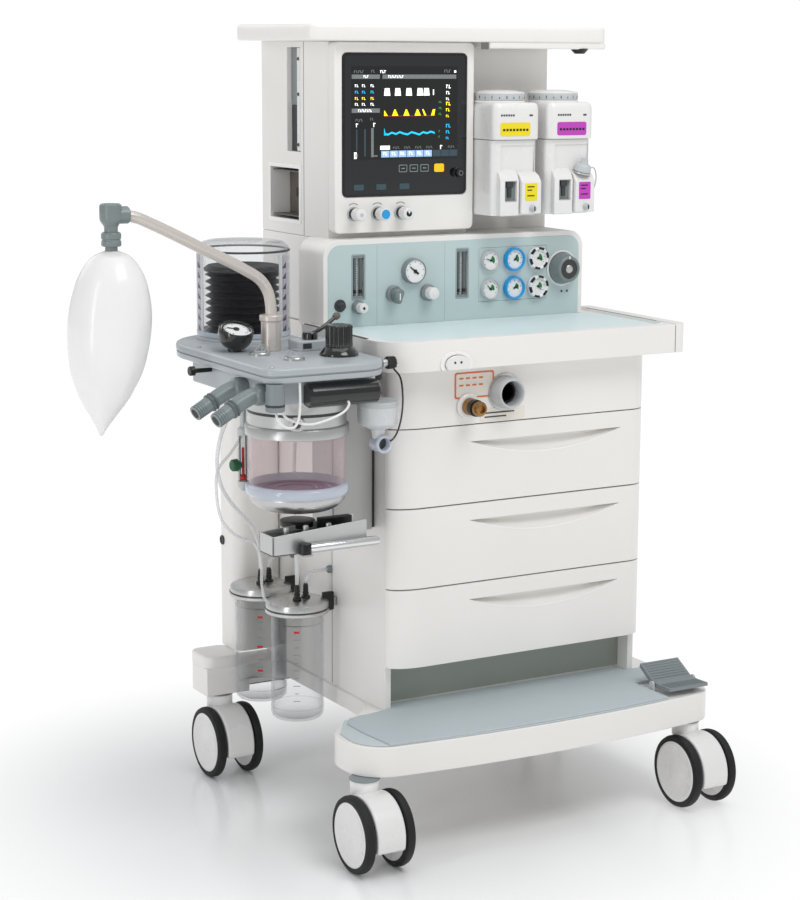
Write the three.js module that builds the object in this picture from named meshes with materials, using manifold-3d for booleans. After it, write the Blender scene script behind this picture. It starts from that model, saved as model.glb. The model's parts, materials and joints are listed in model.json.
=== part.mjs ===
// Anesthesia machine on four castors: cabinet with three drawers, work surface, control panel, monitor
// tower, two vaporizers, and a breathing system on the left with bellows, absorber, bag and suction jars.
// Millimetres. X points to the machine's right, -Y is its front and +Z is up. While the parts are made,
// x = 0 is the middle of the control panel and z = 0 is the floor. The whole group is moved to the middle
// of its box at the end.
import * as THREE from 'three';
import { mergeVertices } from 'three/addons/utils/BufferGeometryUtils.js';
import Module from 'manifold-3d';

const wasm = await Module();
wasm.setup();

// ---- Driving dimensions ----
const gap = 0.3; // clearance between neighbouring pieces
const overallHeight = 1370;
const wheelRadius = 65;
const castorTrail = 32; // stem axis to wheel axis
const baseBottom = 148;
const baseTop = 200;
const baseFront = -276;
const baseBack = 370;
const baseLeft = -395;
const baseRight = 324;
const cabinetLeft = -256;
const cabinetRight = 268;
const cabinetFront = -95;
const cabinetBack = 370;
const drawerFace = -124; // front of the drawers and of the fascia above them
const drawerSeams = [278, 418, 559, 697];
const drawerCornerLeft = 60;
const drawerCornerRight = 35;
const surfaceBottom = 800;
const surfaceTop = 845;
const surfaceRim = 851;
const surfaceFront = -161;
const surfaceLeft = -290;
const surfaceRight = 325;
const surfaceBack = 149;
const panelHalfWidth = 272;
const panelFront = 100;
const panelBack = 195;
const panelTop = 1000;
const towerHalfWidth = 250;
const towerBack = 385;
const bezelFront = 118;
const bezelBack = 143;
const bezelLeft = -240;
const bezelRight = 43;
const bezelBottom = 1009;
const shelfBottom = 1341;
const vaporizerPitch = 116;
const vaporizerFirst = 94;
const vaporizerBottom = 1035;
const vaporizerTop = 1240;
const plateBottom = 809; // breathing system plate
const plateTop = 833;
const blockBottom = 770; // body under that plate
const postX = -431;
const postY = -16;
const bagX = -712;
const canisterX = -426;
const canisterY = -100;
const canisterRadius = 80;
const bellowsX = -402;
const bellowsY = 150;
const jarX = -330;
const jarPlaces = { front: 93, rear: 240 };

// ---- Finishes ----
const finish = (color, roughness, metalness = 0) =>
  new THREE.MeshStandardMaterial({ color, roughness, metalness });
const clear = (color) =>
  new THREE.MeshStandardMaterial({ color, roughness: 0.1, metalness: 0, transparent: true, opacity: 0.35 });
const shell = finish('#dedad5', 0.45);
const teal = finish('#bccdce', 0.4);
const matGrey = finish('#9fadb0', 0.7);
const greyPlastic = finish('#8c979b', 0.5);
const whitePlastic = finish('#ecebe8', 0.4);
const tyre = finish('#1f2021', 0.85);
const black = finish('#161617', 0.4);
const glassBlack = finish('#07080b', 0.08);
const silver = finish('#b9bbbd', 0.3, 0.8);
const beige = finish('#b9b0a6', 0.45);
const brass = finish('#7a5c3c', 0.35, 0.8);
const clearPlastic = clear('#dfe6ea');
const bagRubber = clear('#eeeeee');
const hosePlastic = clear('#e6e8e8');

// ---- Solids ----
// Shared vertices are merged and triangles that have no area at a shared vertex are dropped.
function meshData(geometry) {
  const bare = geometry.clone();
  bare.deleteAttribute('normal');
  bare.deleteAttribute('uv');
  const merged = mergeVertices(bare, 1e-3);
  const index = merged.index.array;
  const triangles = [];
  for (let i = 0; i < index.length; i += 3) {
    const [a, b, c] = [index[i], index[i + 1], index[i + 2]];
    if (a !== b && b !== c && a !== c) triangles.push(a, b, c);
  }
  return { vertices: merged.attributes.position.array, triangles };
}

function signedVolume(vertices, triangles) {
  const corner = (i) => new THREE.Vector3().fromArray(vertices, triangles[i] * 3);
  let volume = 0;
  for (let i = 0; i < triangles.length; i += 3) volume += corner(i).dot(corner(i + 1).cross(corner(i + 2)));
  return volume;
}

function toSolid(geometry) {
  const { vertices, triangles } = meshData(geometry);
  if (signedVolume(vertices, triangles) < 0) triangles.reverse();
  const mesh = new wasm.Mesh({
    numProp: 3,
    vertProperties: new Float32Array(vertices),
    triVerts: new Uint32Array(triangles),
  });
  return new wasm.Manifold(mesh);
}

function toGeometry(solid) {
  const mesh = solid.getMesh();
  const geometry = new THREE.BufferGeometry();
  geometry.setAttribute('position', new THREE.BufferAttribute(new Float32Array(mesh.vertProperties), 3));
  geometry.setIndex(new THREE.BufferAttribute(new Uint32Array(mesh.triVerts), 1));
  return geometry;
}

const join = (...pieces) => toGeometry(pieces.map(toSolid).reduce((sum, piece) => sum.add(piece)));
const cut = (body, ...tools) =>
  toGeometry(tools.map(toSolid).reduce((left, tool) => left.subtract(tool), toSolid(body)));

const box = (x0, x1, y0, y1, z0, z1) =>
  new THREE.BoxGeometry(x1 - x0, y1 - y0, z1 - z0).translate((x0 + x1) / 2, (y0 + y1) / 2, (z0 + z1) / 2);

const extrude = (shape, depth, curveSegments = 3) =>
  new THREE.ExtrudeGeometry(shape, { depth, bevelEnabled: false, curveSegments });

// An outline in X and Y, raised from z0 to z1.
const slab = (shape, z0, z1, segments) => extrude(shape, z1 - z0, segments).translate(0, 0, z0);

// An outline in X and Z, drawn back from y0 to y1.
const wall = (shape, y0, y1, segments) =>
  extrude(shape, y1 - y0, segments).rotateX(Math.PI / 2).translate(0, y1, 0);

// An outline in Y and Z, drawn across from x0 to x1.
const acrossX = (shape, x0, x1, segments) =>
  extrude(shape, x1 - x0, segments).rotateX(Math.PI / 2).rotateZ(Math.PI / 2).translate(x0, 0, 0);

function roundedRect(x0, x1, y0, y1, radius) {
  const shape = new THREE.Shape();
  shape.moveTo(x0 + radius, y0);
  shape.lineTo(x1 - radius, y0);
  shape.absarc(x1 - radius, y0 + radius, radius, -Math.PI / 2, 0);
  shape.lineTo(x1, y1 - radius);
  shape.absarc(x1 - radius, y1 - radius, radius, 0, Math.PI / 2);
  shape.lineTo(x0 + radius, y1);
  shape.absarc(x0 + radius, y1 - radius, radius, Math.PI / 2, Math.PI);
  shape.lineTo(x0, y0 + radius);
  shape.absarc(x0 + radius, y0 + radius, radius, Math.PI, Math.PI * 1.5);
  return shape;
}

const polygon = (points) => new THREE.Shape(points.map(([x, y]) => new THREE.Vector2(x, y)));

// Turned solids: profile points are [radius, distance along the axis].
const lathe = (profile, segments = 18) =>
  new THREE.LatheGeometry(profile.map(([radius, along]) => new THREE.Vector2(radius, along)), segments);
const turnedUp = (profile, x, y, segments) =>
  lathe(profile, segments).rotateX(Math.PI / 2).translate(x, y, 0);
const turnedForward = (profile, x, z, segments) =>
  lathe(profile, segments).rotateX(Math.PI).translate(x, 0, z);
const turnedAcross = (profile, y, z, segments) =>
  lathe(profile, segments).rotateZ(-Math.PI / 2).translate(0, y, z);
const rod = (radius, from, to) => [[0, from], [radius, from], [radius, to], [0, to]];

function circle(radius, sides) {
  const corners = Array.from({ length: sides }, (_, i) => (i * 2 * Math.PI) / sides);
  return polygon(corners.map((angle) => [radius * Math.cos(angle), radius * Math.sin(angle)]));
}

function tube(points, radius, steps, sides = 10) {
  const path = new THREE.CatmullRomCurve3(points.map((point) => new THREE.Vector3(...point)));
  const options = { steps, extrudePath: path, bevelEnabled: false };
  return new THREE.ExtrudeGeometry(circle(radius, sides), options);
}

const machine = new THREE.Group();

function add(name, geometry, material, parent = machine) {
  const mesh = new THREE.Mesh(toGeometry(toSolid(geometry)), material);
  mesh.name = name;
  parent.add(mesh);
  return mesh;
}

// ---- Base with footrest ----
const footLeft = -417; // the foot over the rear left castor
const footFront = 290;

function baseOutline() {
  const corner = 70;
  const frontRight = 46;
  const shape = new THREE.Shape();
  shape.moveTo(baseLeft + corner, baseFront);
  shape.quadraticCurveTo(-10, baseFront - 38, baseRight - frontRight, baseFront);
  shape.absarc(baseRight - frontRight, baseFront + frontRight, frontRight, -Math.PI / 2, 0);
  shape.lineTo(baseRight, baseBack - corner);
  shape.absarc(baseRight - corner, baseBack - corner, corner, 0, Math.PI / 2);
  shape.lineTo(footLeft + 20, baseBack);
  shape.absarc(footLeft + 20, baseBack - 20, 20, Math.PI / 2, Math.PI);
  shape.lineTo(footLeft, footFront);
  shape.lineTo(cabinetLeft - 6, footFront);
  shape.lineTo(cabinetLeft - 6, -20);
  shape.bezierCurveTo(cabinetLeft - 6, -90, baseLeft, -115, baseLeft, -185);
  shape.lineTo(baseLeft, baseFront + corner);
  shape.absarc(baseLeft + corner, baseFront + corner, corner, Math.PI, Math.PI * 1.5);
  return shape;
}

const pedalLeft = 224;
const pedalRight = 308;
const pedalPivotY = -222;
const pedalPivotZ = 212;

function addBase() {
  const body = slab(baseOutline(), baseBottom, baseTop, 5);
  const footHousing = slab(roundedRect(footLeft, -345, footFront + 0.5, baseBack, 18), baseTop - 1, 222);
  const pinHole = turnedAcross(rod(3.6, pedalLeft - 9, pedalRight + 9), pedalPivotY, pedalPivotZ, 12);
  const ears = [pedalLeft - 5.5, pedalRight + 0.5].map((x) =>
    box(x, x + 5, pedalPivotY - 7, pedalPivotY + 7, baseTop - 1, 219));
  add('base_frame', cut(join(body, footHousing, ...ears), pinHole), shell);
}

function addFootrestMat() {
  const margin = 4; // from the mat's front edge to the base's
  const front = baseFront + margin;
  const shape = new THREE.Shape();
  shape.moveTo(-325, front);
  shape.quadraticCurveTo(-10, front - 38, 274, front);
  shape.absarc(274, front + 43, 43, -Math.PI / 2, 0);
  shape.lineTo(317, -96);
  shape.lineTo(cabinetRight + 6, -96);
  shape.lineTo(cabinetRight + 6, cabinetFront - 1);
  shape.lineTo(cabinetRight - 13, cabinetFront - 1);
  shape.lineTo(cabinetRight - 13, -63);
  shape.lineTo(cabinetLeft + 13, -63);
  shape.lineTo(cabinetLeft + 13, cabinetFront - 1);
  shape.lineTo(cabinetLeft + 4, cabinetFront - 1);
  shape.lineTo(-345, -112);
  shape.lineTo(-384, -172);
  shape.absarc(-325, front + 62, 62, Math.PI, Math.PI * 1.5);
  const pedalWell = box(pedalLeft - 8, 340, -320, -176, 190, 220);
  add('footrest_mat', cut(slab(shape, baseTop + gap, baseTop + 5, 5), pedalWell), matGrey);
}

// A rocker with a flat front pad and a raised rear pad, on a pin between two ears of the base.
function addBrakePedal() {
  const pads = polygon([[-272, 211], [-240, 208.5], [-218, 208.5], [-178, 234], [-180, 241], [-222, 217],
    [-240, 216], [-271, 217]]);
  const pin = turnedAcross(rod(3, pedalLeft - 5, pedalRight + 5), pedalPivotY, pedalPivotZ, 12);
  add('brake_pedal', join(acrossX(pads, pedalLeft, pedalRight), pin), matGrey);
}

// ---- Castors: a hooded fork on a swivel stem, and a pair of wheels on one axle ----
const castorWheelGap = 56;
const castorWidth = 92;
const wheelSides = 20;

function forkGeometry() {
  const axleY = -castorTrail;
  const hood = new THREE.Shape();
  hood.moveTo(axleY - 40, 46);
  hood.absarc(axleY, wheelRadius, 64.5, Math.PI * 1.095, Math.PI * 0.4, true);
  hood.lineTo(22, 112);
  hood.lineTo(0, 60);
  hood.lineTo(axleY + 14, 46);
  const half = castorWheelGap / 2 - 1.5;
  const plate = turnedUp(rod(25, 120, baseBottom - gap), 0, 0, 14);
  const bore = turnedAcross(rod(7.2, -half - 2, half + 2), axleY, wheelRadius, 12);
  return cut(join(acrossX(hood, -half, half, 6), plate), bore);
}

function wheelGeometry() {
  const inner = castorWheelGap / 2;
  const outer = castorWidth / 2;
  const half = [[6.5, inner], [60, inner], [wheelRadius, inner + 4], [wheelRadius, outer - 6], [54, outer],
    [0, outer]];
  const mirrored = half.map(([radius, along]) => [radius, -along]).reverse();
  const wheels = lathe([...mirrored, ...half], wheelSides);
  return wheels.rotateY(Math.PI / wheelSides).rotateZ(-Math.PI / 2).translate(0, -castorTrail, wheelRadius);
}

function addCastors() {
  const places = [
    ['front_left', -380, -249],
    ['front_right', 277, -249],
    ['rear_left', -381, 314],
    ['rear_right', 283, 314],
  ];
  for (const [name, x, y] of places) {
    const castor = new THREE.Group();
    castor.position.set(x, y, 0);
    machine.add(castor);
    add(`castor_fork_${name}`, forkGeometry(), whitePlastic, castor);
    add(`castor_wheels_${name}`, wheelGeometry(), tyre, castor);
  }
}

// ---- Cabinet ----
// The fronts have rounded vertical corners, wider on the left.
function frontOutline(back) {
  const depth = cabinetFront - drawerFace - 1;
  const shape = new THREE.Shape();
  shape.moveTo(cabinetLeft, back);
  shape.lineTo(cabinetLeft, cabinetFront - 1);
  shape.absellipse(cabinetLeft + drawerCornerLeft, cabinetFront - 1, drawerCornerLeft, depth,
    Math.PI, Math.PI * 1.5, false, 0);
  shape.absellipse(cabinetRight - drawerCornerRight, cabinetFront - 1, drawerCornerRight, depth,
    -Math.PI / 2, 0, false, 0);
  shape.lineTo(cabinetRight, back);
  return shape;
}

const gasOutletX = -38;
const gasOutletZ = 749;

function addCabinet() {
  const top = drawerSeams[3];
  const carcass = box(cabinetLeft, cabinetRight, cabinetFront, cabinetBack, baseTop + gap, top + 1);
  const fascia = slab(frontOutline(cabinetBack), top, surfaceBottom - gap, 5);
  const pillar = slab(roundedRect(-350, cabinetLeft + 12, 300, 385, 24), baseTop + gap + 22, 815);
  const plinth = box(cabinetLeft + 12, cabinetRight - 12, cabinetFront - 10, -62, baseTop - 10,
    drawerSeams[0] - 1);
  const bays = [0, 1, 2].map((i) =>
    box(cabinetLeft + 14, cabinetRight - 14, cabinetFront - 30, 345,
      drawerSeams[i] + 3, drawerSeams[i + 1] - 3));
  const underSurface = box(cabinetLeft + 0.5, cabinetLeft + 40, 290, 400, surfaceBottom - gap, 816);
  add('cabinet_body', cut(join(carcass, fascia, cut(pillar, underSurface)), plinth, ...bays), shell);
}

// Each drawer is one moulding: a front with a smile-shaped scoop for the fingers, and an open tray behind it.
const scoopX = 52;
const scoopHalfWidth = 158;
const scoopDrop = 30;
const scoopHeight = 27;

function addDrawer(name, z0, z1) {
  const front = slab(frontOutline(cabinetFront - 1), z0 + 1.5, z1 - 1.5, 5);
  const upper = z1 - scoopDrop;
  const smile = new THREE.Shape();
  smile.moveTo(scoopX - scoopHalfWidth, upper);
  smile.quadraticCurveTo(scoopX, upper - 2 * scoopHeight, scoopX + scoopHalfWidth, upper);
  const scoop = wall(smile, drawerFace - 6, drawerFace + 17, 10);
  const outer = box(cabinetLeft + 22, cabinetRight - 22, cabinetFront - 3, 300, z0 + 10, z1 - 32);
  const inner = box(cabinetLeft + 27, cabinetRight - 27, cabinetFront + 1, 295, z0 + 14, z1 + 10);
  add(name, cut(join(front, outer), scoop, inner), shell);
}

function addGasOutlets() {
  const start = -drawerFace + gap;
  const ring = [[21, start], [30, start], [30, start + 24], [27, start + 28], [23, start + 28],
    [21, start + 24], [21, start]];
  add('fresh_gas_outlet', turnedForward(ring, gasOutletX, gasOutletZ, 20), whitePlastic);
  const barrel = [[0, start], [22, start], [22, start + 8], [15, start + 12], [13, start + 22],
    [13, start + 44], [10, start + 50], [0, start + 50]];
  add('oxygen_outlet', turnedForward(barrel, -113, 730, 12), brass);
}

// ---- Work surface with raised rim, and the flush button in its front edge ----
const buttonX = -158;
const buttonZ = 810;

function oval(width, height) {
  return roundedRect(buttonX - width / 2, buttonX + width / 2, buttonZ - height / 2, buttonZ + height / 2,
    height / 2 - 0.5);
}

function surfaceOutline() {
  const shape = new THREE.Shape();
  shape.moveTo(surfaceLeft + 60, surfaceFront);
  shape.lineTo(surfaceRight - 20, surfaceFront);
  shape.absarc(surfaceRight - 20, surfaceFront + 20, 20, -Math.PI / 2, 0);
  shape.lineTo(surfaceRight, surfaceBack);
  shape.lineTo(towerHalfWidth + 4, surfaceBack);
  shape.lineTo(towerHalfWidth + 4, towerBack);
  shape.lineTo(-towerHalfWidth - 4, towerBack);
  shape.lineTo(-towerHalfWidth - 4, surfaceBack);
  shape.lineTo(surfaceLeft, surfaceBack);
  shape.lineTo(surfaceLeft, surfaceFront + 60);
  shape.absarc(surfaceLeft + 60, surfaceFront + 60, 60, Math.PI, Math.PI * 1.5);
  return shape;
}

function addWorkSurface() {
  const rim = 18;
  const endCap = 28;
  const body = slab(surfaceOutline(), surfaceBottom, surfaceTop, 4);
  const raised = slab(surfaceOutline(), surfaceTop - 1, surfaceRim, 4);
  const tray = slab(roundedRect(surfaceLeft + rim, surfaceRight - endCap, surfaceFront + rim, 131, 42),
    surfaceTop, 860, 4);
  const underPanel = box(-panelHalfWidth - 1, panelHalfWidth + 1, panelFront - 0.5, 400, surfaceTop, 860);
  const boss = wall(oval(62, 44), surfaceFront - 3, surfaceFront + 6, 3);
  const pocket = wall(oval(48, 32), surfaceFront - 12, surfaceFront + 1, 3);
  const clearFascia = box(-230, -90, drawerFace - 60, drawerFace + 60, 760, surfaceBottom);
  const rimmed = join(body, cut(raised, tray, underPanel), cut(boss, clearFascia));
  add('work_surface', cut(rimmed, pocket), shell);
  const buttonShape = cut(wall(oval(46, 30), surfaceFront - 8, surfaceFront - 3.5, 3), clearFascia);
  add('oxygen_flush_button', buttonShape, whitePlastic);
}

// ---- Control panel, its knobs and gauges ----
// A knob on the front: cap is its [radius, distance forward] outline, and its shaft runs back into a hole.
const shaftRadius = 5;
const shaftDepth = 12;

function frontKnob(name, x, z, face, cap, material) {
  const start = gap - face;
  const profile = [[0, start - shaftDepth], [shaftRadius, start - shaftDepth], [shaftRadius, start],
    ...cap.map(([radius, forward]) => [radius, start + forward])];
  add(name, turnedForward(profile, x, z, 14), material);
}

const shaftHole = (x, z, face) =>
  turnedForward(rod(shaftRadius + 0.6, -face - shaftDepth - 2, -face + 2), x, z, 12);

const panelKnobs = {
  auxiliary: [-205, 881], selector: [-133, 901], vacuum: [-63, 900], switch: [226, 931],
};
const gaugeColumns = [67, 119, 170];
const gaugeRows = [952, 900];

function addControlPanel() {
  const shape = roundedRect(-panelHalfWidth, panelHalfWidth, surfaceTop - 60, panelTop, 30);
  const body = cut(wall(shape, panelFront, panelBack, 4), box(-300, 300, 50, 250, 700, surfaceTop + gap));
  const outletNipple = turnedForward(rod(8, -panelFront - 1, -panelFront + 16), -240, 885, 14);
  const flowSlot = box(-215, -191, panelFront - 5, panelFront + 9, 895, 972);
  const totalSlot = box(-2, 22, panelFront - 5, panelFront + 9, 887, 975);
  const gaugeRecess = box(45, 192, panelFront - 5, panelFront + 6, 877, 975);
  const holes = Object.values(panelKnobs).map(([x, z]) => shaftHole(x, z, panelFront));
  add('control_panel', cut(join(body, outletNipple), flowSlot, totalSlot, gaugeRecess, ...holes), teal);
}

function addPanelInstruments() {
  const { auxiliary, selector, vacuum } = panelKnobs;
  const small = [[12, 0], [12, 10], [9, 12], [9, 26], [0, 26]];
  const medium = [[15, 0], [15, 9], [11, 12], [11, 27], [0, 27]];
  const large = [[29, 0], [29, 12], [24, 26], [18, 28], [0, 28]];
  frontKnob('auxiliary_flow_knob', ...auxiliary, panelFront, small, whitePlastic);
  frontKnob('suction_selector_knob', ...selector, panelFront, medium, greyPlastic);
  frontKnob('vacuum_knob', ...vacuum, panelFront, medium, whitePlastic);
  frontKnob('system_switch', ...panelKnobs.switch, panelFront, large, greyPlastic);
  const dial = [[0, gap - panelFront], [21, gap - panelFront], [23, 4 - panelFront], [23, 14 - panelFront],
    [0, 14 - panelFront]];
  add('vacuum_gauge', turnedForward(dial, -94, 940, 24), whitePlastic);
  const plate = box(46, 191, panelFront + 0.5, panelFront + 5.5, 878, 974);
  const gauges = gaugeColumns.flatMap((x) =>
    gaugeRows.map((z) => turnedForward(rod(19, -panelFront - 2, -panelFront + 11), x, z, 14)));
  add('supply_gauges', join(plate, ...gauges), whitePlastic);
}

// ---- Monitor ----
const flowKnobs = { left: -203, middle: -155, right: -108 };
const flowKnobZ = 1043;
const glass = { left: -224, right: 27, bottom: 1073, top: 1321 };

function addMonitor() {
  const frame = wall(roundedRect(bezelLeft, bezelRight, bezelBottom, shelfBottom - gap, 10),
    bezelFront, bezelBack);
  const pocket = box(glass.left - 0.5, glass.right + 0.5, bezelFront - 5, bezelFront + 4.3,
    glass.bottom - 0.5, glass.top + 0.5);
  const holes = Object.values(flowKnobs).map((x) => shaftHole(x, flowKnobZ, bezelFront));
  add('monitor_bezel', cut(frame, pocket, ...holes), shell);
  const pane = wall(roundedRect(glass.left, glass.right, glass.bottom, glass.top, 4),
    bezelFront - 1, bezelFront + 4);
  add('monitor_glass', pane, glassBlack);
  const cap = [[9, 0], [9, 12], [11, 14], [11, 32], [0, 32]];
  for (const [side, x] of Object.entries(flowKnobs)) {
    frontKnob(`fresh_gas_knob_${side}`, x, flowKnobZ, bezelFront, cap, whitePlastic);
  }
  const face = gap - bezelFront + 1;
  const menu = [[0, face], [9, face], [9, face + 12], [7, face + 14], [0, face + 14]];
  add('menu_knob', turnedForward(menu, 8, 1111, 18), black);
}

// ---- Tower and top shelf ----
function addTower() {
  const upper = slab(polygon([
    [bezelLeft, bezelBack + gap], [bezelRight + 1, bezelBack + gap], [bezelRight + 1, panelBack + gap],
    [towerHalfWidth, panelBack + gap], [towerHalfWidth, towerBack], [-towerHalfWidth, towerBack],
    [-towerHalfWidth, 208],
  ]), panelTop + gap, shelfBottom - gap);
  const lower = box(-towerHalfWidth, towerHalfWidth, panelBack + gap, towerBack,
    surfaceTop + gap, panelTop + 1);
  const backBar = box(52, 256, 172, panelBack + 1, 1118, 1150);
  const moduleBay = box(-260, -205, 233, 348, 1025, 1117);
  const railChannel = box(-260, -238, 230, 282, 1147, 1330);
  add('tower_body', cut(join(upper, lower, backBar), moduleBay, railChannel), shell);
}

function addTopShelf() {
  const board = slab(roundedRect(-298, 318, 95, 400, 20), shelfBottom + gap, overallHeight);
  const thickened = slab(roundedRect(60, 316, 97, 190, 8), 1330, shelfBottom + 2);
  const lamp = turnedUp(rod(9, 1322, 1331), 265, 112, 16);
  add('top_shelf', join(board, thickened, lamp), shell);
}

// ---- Vaporizers: a body hung on the back bar and a concentration dial on top ----
function addVaporizers() {
  ['left', 'right'].forEach((side, i) => {
    const vaporizer = new THREE.Group();
    vaporizer.position.x = vaporizerFirst + i * vaporizerPitch;
    machine.add(vaporizer);
    const back = 172 - gap;
    const head = slab(roundedRect(-49, 49, 50, back, 14), 1170, vaporizerTop);
    const lower = slab(roundedRect(-48, 48, 58, back, 12), vaporizerBottom, 1171);
    const filler = acrossX(polygon([[46, 1035], [66, 1035], [66, 1122], [52, 1110], [46, 1098]]), -38, 2);
    const column = acrossX(polygon([[40, 1038], [66, 1038], [66, 1116], [48, 1106], [40, 1096]]), 4, 46);
    const seat = turnedUp(rod(47, vaporizerTop - 1, vaporizerTop + 3), 0, 115, 20);
    add(`vaporizer_${side}`, join(head, lower, filler, column, seat), whitePlastic, vaporizer);
    const rim = vaporizerTop + 3 + gap;
    const dial = [[0, rim], [45, rim], [46, rim + 2], [46, rim + 15], [42, rim + 18], [0, rim + 18]];
    add(`vaporizer_dial_${side}`, turnedUp(dial, 0, 115, 20), greyPlastic, vaporizer);
  });
}

// ---- Breathing system plate with its body below, and what stands on it ----
const domeRadius = 81; // the clear dome over the bellows
const valvePlaces = [[-450, -139], [-474, -62]];
const leverX = -368;
const leverY = -35;

// The plate is rounded wide round the bellows at its rear left, and towards the work surface at its
// front right.
function plateOutline() {
  const [left, right, front, back] = [-538, -310, -224, 234];
  const [small, frontRight, rearLeft] = [26, 58, 128];
  const shape = new THREE.Shape();
  shape.moveTo(left + small, front);
  shape.lineTo(right - frontRight, front);
  shape.absarc(right - frontRight, front + frontRight, frontRight, -Math.PI / 2, 0);
  shape.lineTo(right, back - small);
  shape.absarc(right - small, back - small, small, 0, Math.PI / 2);
  shape.lineTo(left + rearLeft, back);
  shape.absarc(left + rearLeft, back - rearLeft, rearLeft, Math.PI / 2, Math.PI);
  shape.lineTo(left, front + small);
  shape.absarc(left + small, front + small, small, Math.PI, Math.PI * 1.5);
  return shape;
}

function addBreathingPlate() {
  const plate = slab(plateOutline(), plateBottom, plateTop, 5);
  const block = slab(roundedRect(-520, -328, -195, 120, 20), blockBottom, plateBottom + 1);
  const arm = box(-340, cabinetLeft - gap, 20, 110, 772, surfaceBottom - gap);
  const valves = valvePlaces.map(([x, y]) =>
    turnedUp([[0, plateTop - 1], [17, plateTop - 1], [17, plateTop + 5], [14, plateTop + 6],
      [13, plateTop + 15], [8, plateTop + 18], [0, plateTop + 18]], x, y, 12));
  const switchBody = slab(roundedRect(leverX - 32, leverX + 30, leverY - 22, leverY + 26, 12),
    plateTop - 1, 850);
  const bellowsSeat = turnedUp(rod(domeRadius + 1, plateTop - 1, plateTop + 7), bellowsX, bellowsY, 20);
  const manifold = turnedAcross(rod(20, -462, -334), -205, 784, 12);
  add('breathing_plate', join(plate, block, arm, switchBody, bellowsSeat, manifold, ...valves),
    greyPlastic);
}

function addPlateInstruments() {
  const gaugeX = -491;
  const gaugeY = 2;
  const bowl = lathe([[0, 0], [17, 0], [26, 9], [29.4, 21], [29.4, 32], [0, 32]], 24)
    .rotateX(Math.PI / 2 + 0.35).translate(gaugeX, gaugeY, plateTop + 9);
  const foot = turnedUp(rod(12, plateTop + gap, plateTop + 18), gaugeX, gaugeY - 2, 14);
  add('airway_gauge', join(foot, bowl), black);
  const apl = [[0, plateTop + gap], [32, plateTop + gap], [32, plateTop + 7], [23, plateTop + 14],
    [22.5, plateTop + 48], [20, plateTop + 51], [0, plateTop + 51]];
  add('apl_knob', turnedUp(apl, -359, -122, 24), black);
  const hub = turnedUp(rod(13, 850 + gap, 862), leverX, leverY, 18);
  const grip = [[leverX, leverY, 857], [leverX + 25, leverY + 6, 866], [leverX + 58, leverY + 15, 884]];
  add('bag_vent_lever', join(hub, tube(grip, 5, 6)), black);
}

const neckBottom = 1010; // where the bag hangs from the arm

function addBagArm() {
  const post = [[0, plateTop + gap], [17, plateTop + gap], [17, 882], [19.5, 884], [19.5, 892],
    [11, 894], [0, 894]];
  const pipe = tube([[postX, postY, 880], [postX, postY, 905], [-436, postY, 930], [-450, postY, 951],
    [-478, postY, 969], [-560, postY, 1010], [-640, postY, 1049], [-672, postY, 1062],
    [-705, postY, 1066]], 9.5, 18, 8);
  const elbow = turnedUp([[0, neckBottom], [10, neckBottom], [10, 1016], [16, 1018], [16, 1038],
    [11, 1040], [11, 1048], [14, 1052], [18, 1060], [18, 1083], [16, 1085], [0, 1085]], bagX, postY, 14);
  add('bag_arm', join(turnedUp(post, postX, postY, 14), pipe, elbow), beige);
}

// The bag hangs from its neck with its tail drawn a little outwards.
function addBreathingBag() {
  const top = neckBottom - gap;
  const profile = [[0, 712], [4, 712], [5, 722], [21, 743], [38, 769], [50, 795], [60, 821], [66, 858],
    [68.5, 896], [66, 926], [57, 962], [45, 985], [34, 1000], [16, 1008], [10, top], [0, top]];
  const bag = turnedUp(profile, bagX, postY, 14);
  const corners = bag.getAttribute('position');
  for (let i = 0; i < corners.count; i += 1) {
    const drop = Math.max(0, (top - corners.getZ(i)) / (top - 712));
    corners.setX(i, corners.getX(i) - 24 * drop ** 1.7);
  }
  add('breathing_bag', bag, bagRubber);
}

// The bellows stands under a clear dome and its top disc rises and falls.
function addBellows() {
  const floor = plateTop + 7 + gap;
  const discBottom = 950;
  const r = domeRadius;
  const dome = [[r - 4, floor], [r, floor], [r, 990], [r - 10, 1002], [0, 1002], [0, 999], [r - 11, 999],
    [r - 4, 989], [r - 4, floor]];
  add('bellows_dome', turnedUp(dome, bellowsX, bellowsY, 20), clearPlastic);
  const pleats = 6;
  const pitch = (discBottom - gap - floor) / pleats;
  const profile = [[0, floor], [54, floor]];
  for (let i = 0; i < pleats; i += 1) {
    profile.push([66, floor + (i + 0.5) * pitch], [54, floor + (i + 1) * pitch]);
  }
  add('bellows', turnedUp([...profile, [0, discBottom - gap]], bellowsX, bellowsY, 16), black);
  add('bellows_disc', turnedUp([[0, discBottom], [68, discBottom], [68, 956], [62, 960], [0, 960]],
    bellowsX, bellowsY, 16), black);
}

// ---- Carbon dioxide absorber: fixed head and cradle, canister that drops, and its lock handle ----
const headBottom = 705;
const cradleBottom = 518;
const cradleTop = 552;
const lockX = -455;
const lockY = -184;
const lockZ = 529; // height of the handle's bar

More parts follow.
